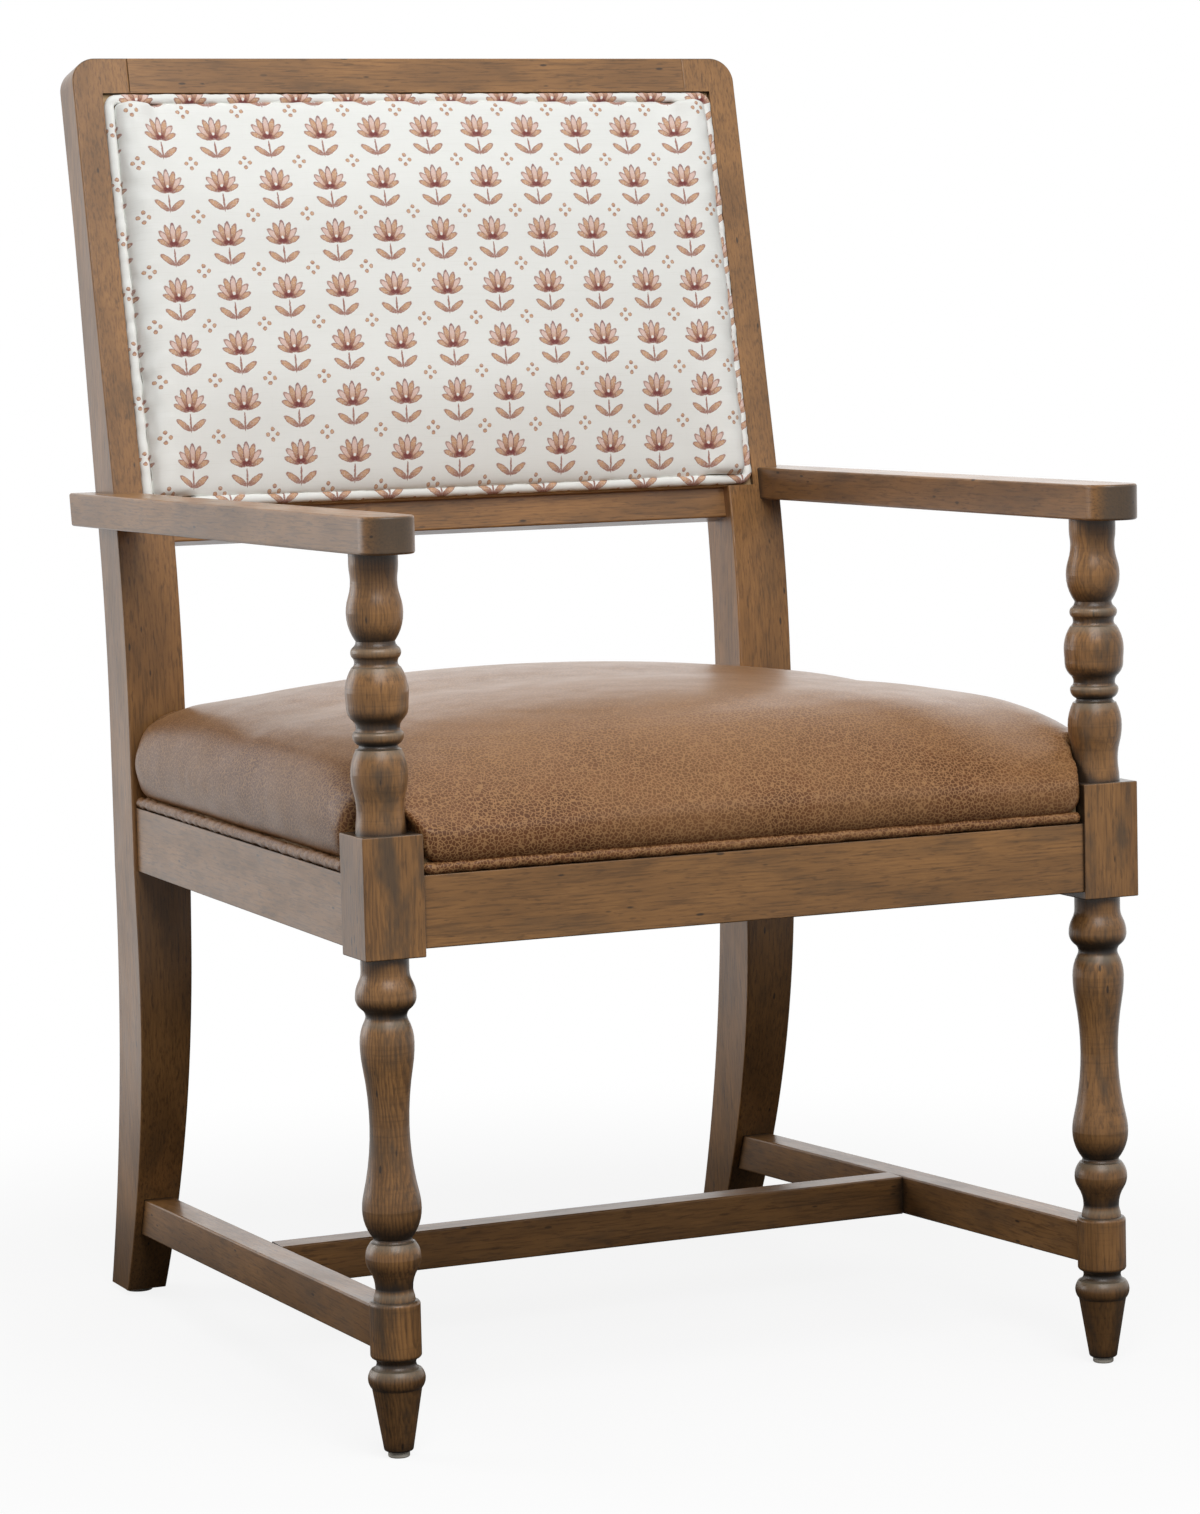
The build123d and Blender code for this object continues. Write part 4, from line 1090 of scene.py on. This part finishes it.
@dataclass
class WoodFrame:
    """The wood members, which keep their solids' shapes and get their finish here."""

    finish: StainedWood = field(default_factory=StainedWood)
    members: dict[Grain, tuple[str, ...]] = field(
        default_factory=lambda: {
            Grain.ACROSS: (
                "crest_rail", "lower_back_rail", "front_seat_rail", "rear_seat_rail", "cross_stretcher",
            ),
            Grain.BACKWARD: (
                "arm_left", "arm_right", "side_seat_rail_left", "side_seat_rail_right",
                "side_stretcher_left", "side_stretcher_right", "arm_screw_plugs", "back_screw_plugs",
            ),
            Grain.UPRIGHT: ("front_leg_left", "front_leg_right", "rear_leg_left", "rear_leg_right"),
        }
    )

    turned: tuple[str, ...] = ("front_leg_left", "front_leg_right")
    # Heights of the turnings' grooves, each with the reach of the glaze and painted shade under the bead
    # above.
    grooves: tuple[tuple[float, float], ...] = (
        (65.5 * MM, 5 * MM),
        (118.6 * MM, 14 * MM),
        (153.5 * MM, 18 * MM),
        (307.9 * MM, 15 * MM),
        (494.0 * MM, 5 * MM),
        (506.1 * MM, 15 * MM),
        (550.5 * MM, 5 * MM),
        (563.0 * MM, 16 * MM),
    )
    back: tuple[str, ...] = ("crest_rail", "rear_leg_left", "rear_leg_right", "lower_back_rail")

    def look(self, name: str) -> WoodLook:
        """The turned members show the most figure, and the back's flush joints have no dark lines."""
        if name in self.turned:
            return WoodLook(rings=0.45, mottling=0.80, edge_lines=0.6, grooves=self.grooves)
        flush = name in self.back
        return WoodLook(rings=0.14, mottling=0.32, edge_lines=0.0 if flush else 0.7, flush=flush)

    def dress(self) -> None:
        """Give each member its own piece of the grain."""
        number = 0
        for grain, names in self.members.items():
            for name in names:
                number += 1
                low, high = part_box(name)
                middle, look = (low + high) / 2, self.look(name)
                dress_node(name, self.finish.build("stained_" + name, grain, middle, float(number), look))


def dress_node(name: str, material: bpy.types.Material) -> None:
    """Give a solid that stays its finish."""
    cover(frame["nodes"][name].data, material)
    LOG.info("%s keeps its solid, finish %s", name, material.name)


@dataclass
class HiddenWork:
    """Boards, blocks, dowels, screws and glides: seen from below, behind or not at all."""

    plain_wood: PlainFinish = PlainFinish(srgb(196, 164, 122), srgb(170, 136, 96), 0.7, 0.0, 25.0)
    steel: PlainFinish = PlainFinish(srgb(190, 190, 186), srgb(150, 150, 148), 0.35, 1.0, 200.0)
    glide: PlainFinish = PlainFinish(srgb(214, 208, 196), srgb(190, 182, 168), 0.5, 0.0, 120.0)

    def dress(self) -> None:
        """Give every other solid a finish by the record's slot."""
        finishes = {
            "plain_wood": self.plain_wood.build("plain_wood"),
            "steel": self.steel.build("zinc_steel"),
            "glide": self.glide.build("pale_glide"),
        }
        for part in frame["record"]["subparts"]:
            finish = finishes.get(part["material_slot"])
            if finish is not None:
                dress_node(part["node"], finish)


@dataclass
class CoverSheet:
    """A cloth sheet stretched flat on what is behind it, its edge rolled under."""

    name: str
    node: str
    slot: str
    rests_on: str
    raked: bool
    step: float = 5.0 * MM
    roll: float = 4.0 * MM
    sag: float = 1.2 * MM
    edge_band: float = 1.0 * MM

    def build(self, material: bpy.types.Material) -> None:
        """Make the sheet between the ends of its solid's two edges that run across.

        Args:
            material: its cloth.
        """
        points = Pad.points(frame["nodes"][self.node].data)
        up, out = raked(BACK_RAKE if self.raked else -math.pi / 2)
        upward, outward = points @ up, points @ out
        low, high = upward.min(), upward.max()
        ends = [
            np.abs(points[np.abs(upward - level) < self.edge_band, 0]).max() for level in (low, high)
        ]
        outer = outward.min()
        columns = int(2 * max(ends) / self.step)
        rows = int((high - low) / self.step)
        across, along = np.meshgrid(np.linspace(-1, 1, columns), np.linspace(0, 1, rows))
        half = ends[0] + (ends[1] - ends[0]) * along
        rise = low + (high - low) * along
        rim = np.minimum((1 - np.abs(across)) * half, np.minimum(along, 1 - along) * (high - low))
        rolled = (outward.max() - outer) * ramp(rim, self.roll, 0.0) ** 2
        slack = self.sag * (1 - across ** 2) * (4 * along * (1 - along))
        depth = outer + rolled - slack * (not self.raked)
        place = rise[..., None] * up + depth[..., None] * out
        place[..., 0] += across * half
        faces = grid_faces(rows, columns, False)
        mesh = make_mesh(self.name, place.reshape(-1, 3), faces if self.raked else faces[:, ::-1])
        piece = add_piece(self.name, mesh, material, [self.node])


@dataclass
class Studio:
    """Camera, lamps, pale floor and white surround."""

    place: tuple[float, float, float] = (-1.391, -3.15435, 0.785)
    yaw: float = 24.05
    pitch: float = 5.65
    roll: float = -1.40
    focal_pixels: float = 4520.0
    image: tuple[int, int] = (1200, 1514)
    ambient: float = 0.18
    floor_bounce: Colour = (0.08, 0.075, 0.07)
    floor_seen: Colour = (0.92, 0.92, 0.92)
    shadow: float = 0.13
    shadow_reach: tuple[float, float] = (0.55, 1.15)
    glare: float = 0.2
    mirror_reach: tuple[float, float] = (0.3, 1.8)
    floor_size: float = 24.0
    sensor: float = 36.0
    aim: tuple[float, float, float] = (0.0, 0.0, 0.45)
    lamps: tuple[tuple[str, tuple[float, float, float], float, float], ...] = (
        ("key", (-0.35, -1.75, 2.1), 1.5, 39.0),
        ("fill", (1.3, -1.9, 2.0), 1.6, 7.0),
        ("top", (0.0, -0.2, 2.4), 1.4, 5.0),
        ("side", (-2.4, 1.8, 1.2), 1.8, 31.0),
        ("rear", (1.5, 2.4, 1.8), 1.8, 5.0),
    )

    def camera(self) -> None:
        """Set the camera where the photograph was taken from."""
        yaw, pitch, roll = (math.radians(v) for v in (self.yaw, self.pitch, self.roll))
        ahead = Vector((math.sin(yaw) * math.cos(pitch), math.cos(yaw) * math.cos(pitch), -math.sin(pitch)))
        right = Vector((math.cos(yaw), -math.sin(yaw), 0.0))
        above = right.cross(ahead)
        tilted = right * math.cos(roll) + above * math.sin(roll)
        upright = above * math.cos(roll) - right * math.sin(roll)
        data = bpy.data.cameras.new("camera")
        data.sensor_width = self.sensor
        data.lens = self.focal_pixels * self.sensor / max(self.image)
        camera = put_in_scene("camera", data)
        turned = Matrix((tilted, upright, -ahead)).transposed().to_4x4()
        camera.matrix_world = Matrix.Translation(self.place) @ turned
        bpy.context.scene.camera = camera

    def lamp(self, name: str, place: Sequence[float], size: float, power: float) -> None:
        """Hang a soft square lamp that faces the seat."""
        data = bpy.data.lights.new(name, "AREA")
        data.size = size
        data.energy = power
        data.specular_factor = self.glare
        lamp = put_in_scene(name, data)
        toward = Vector(self.aim) - Vector(place)
        lamp.matrix_world = Matrix.Translation(place) @ toward.to_track_quat("-Z", "Y").to_matrix().to_4x4()

    def surround(self) -> None:
        """White to the camera and in reflections, a plain level as light."""
        world = bpy.data.worlds.new("surround")
        world.use_nodes = True
        bpy.context.scene.world = world
        tree = world.node_tree
        shade = tree.nodes["Background"]
        shade.inputs["Color"].default_value = (1.0, 1.0, 1.0, 1.0)
        path = tree.nodes.new("ShaderNodeLightPath")
        seen = path.outputs["Is Camera Ray"]
        for other in ("Is Glossy Ray", "Is Transmission Ray"):
            either = tree.nodes.new("ShaderNodeMath")
            either.operation = "MAXIMUM"
            tree.links.new(seen, either.inputs[0])
            tree.links.new(path.outputs[other], either.inputs[1])
            seen = either.outputs[0]
        level = tree.nodes.new("ShaderNodeMapRange")
        level.inputs[3].default_value = self.ambient
        level.inputs[4].default_value = 1.0
        tree.links.new(seen, level.inputs[0])
        tree.links.new(level.outputs[0], shade.inputs["Strength"])

    def floor(self) -> None:
        """A pale floor that keeps the chair's soft shadow and turns into the surround further out."""
        graph = Graph("pale_floor")
        path = graph.node("LightPath", {}).outputs
        seen = graph.math("MAXIMUM", path["Is Camera Ray"], path["Is Transmission Ray"])
        away = graph.vector("LENGTH", graph.coordinates)
        plain = graph.band(away, *self.shadow_reach, 1.0 - self.shadow, 1.0)
        mirrored = graph.times(path["Is Glossy Ray"], graph.band(away, *self.mirror_reach))
        share = graph.math("MAXIMUM", graph.times(seen, plain), mirrored)
        diffuse = graph.node("BsdfDiffuse", {"Color": graph.mix(seen, self.floor_bounce, self.floor_seen)})
        glow = graph.node("Emission", {"Color": (1.0, 1.0, 1.0), "Strength": 1.0})
        both = graph.node("MixShader", {0: share, 1: diffuse.outputs[0], 2: glow.outputs[0]})
        graph.tree.links.new(both.outputs[0], graph.output.inputs["Surface"])
        half = self.floor_size / 2
        points = np.array([[-half, -half, 0], [half, -half, 0], [half, half, 0], [-half, half, 0]])
        floor = put_in_scene("floor", make_mesh("floor", points, np.array([[0, 1, 2, 3]])))
        cover(floor.data, graph.material)

    def build(self) -> None:
        """Set up the whole studio."""
        self.camera()
        self.surround()
        self.floor()
        for name, place, size, power in self.lamps:
            self.lamp(name, place, size, power)
        bpy.context.scene.view_settings.view_transform = "Standard"


def main() -> None:
    """Build and dress every piece in order."""
    Studio().build()
    WoodFrame().dress()
    HiddenWork().dress()
    leather = PebbledLeather().build("pebbled_leather")
    linen = SprigLinen().build("sprig_linen")
    seat = SeatPad("leather_seat", "seat_foam", ("seat_cover", "seat_foam"), "seat_leather", 0.95)
    seat.build(leather)
    SeatWelts().build(leather)
    back = BackPad("printed_back", "back_foam", ("back_cover", "back_foam"), "back_fabric", 0.9, cap=5 * MM)
    back.build(linen)
    BackWelt().build(SprigLinen().build("sprig_linen_welt", moved=(14.3, 14.0)))
    plain = SprigLinen().build("plain_linen", printed=False)
    outside = CoverSheet(
        "linen_outside_back", "outside_back_cover", "back_fabric", "outside_back_board", True
    )
    outside.build(plain)
    dust_cloth = PlainFinish(srgb(38, 37, 36), srgb(26, 25, 25), 0.95, 0.0, 400.0).build("black_dust_cloth")
    CoverSheet("dust_cloth_sheet", "dust_cover", "dust_cloth", "seat_board", False).build(dust_cloth)


if __name__ == "__main__":
    main()
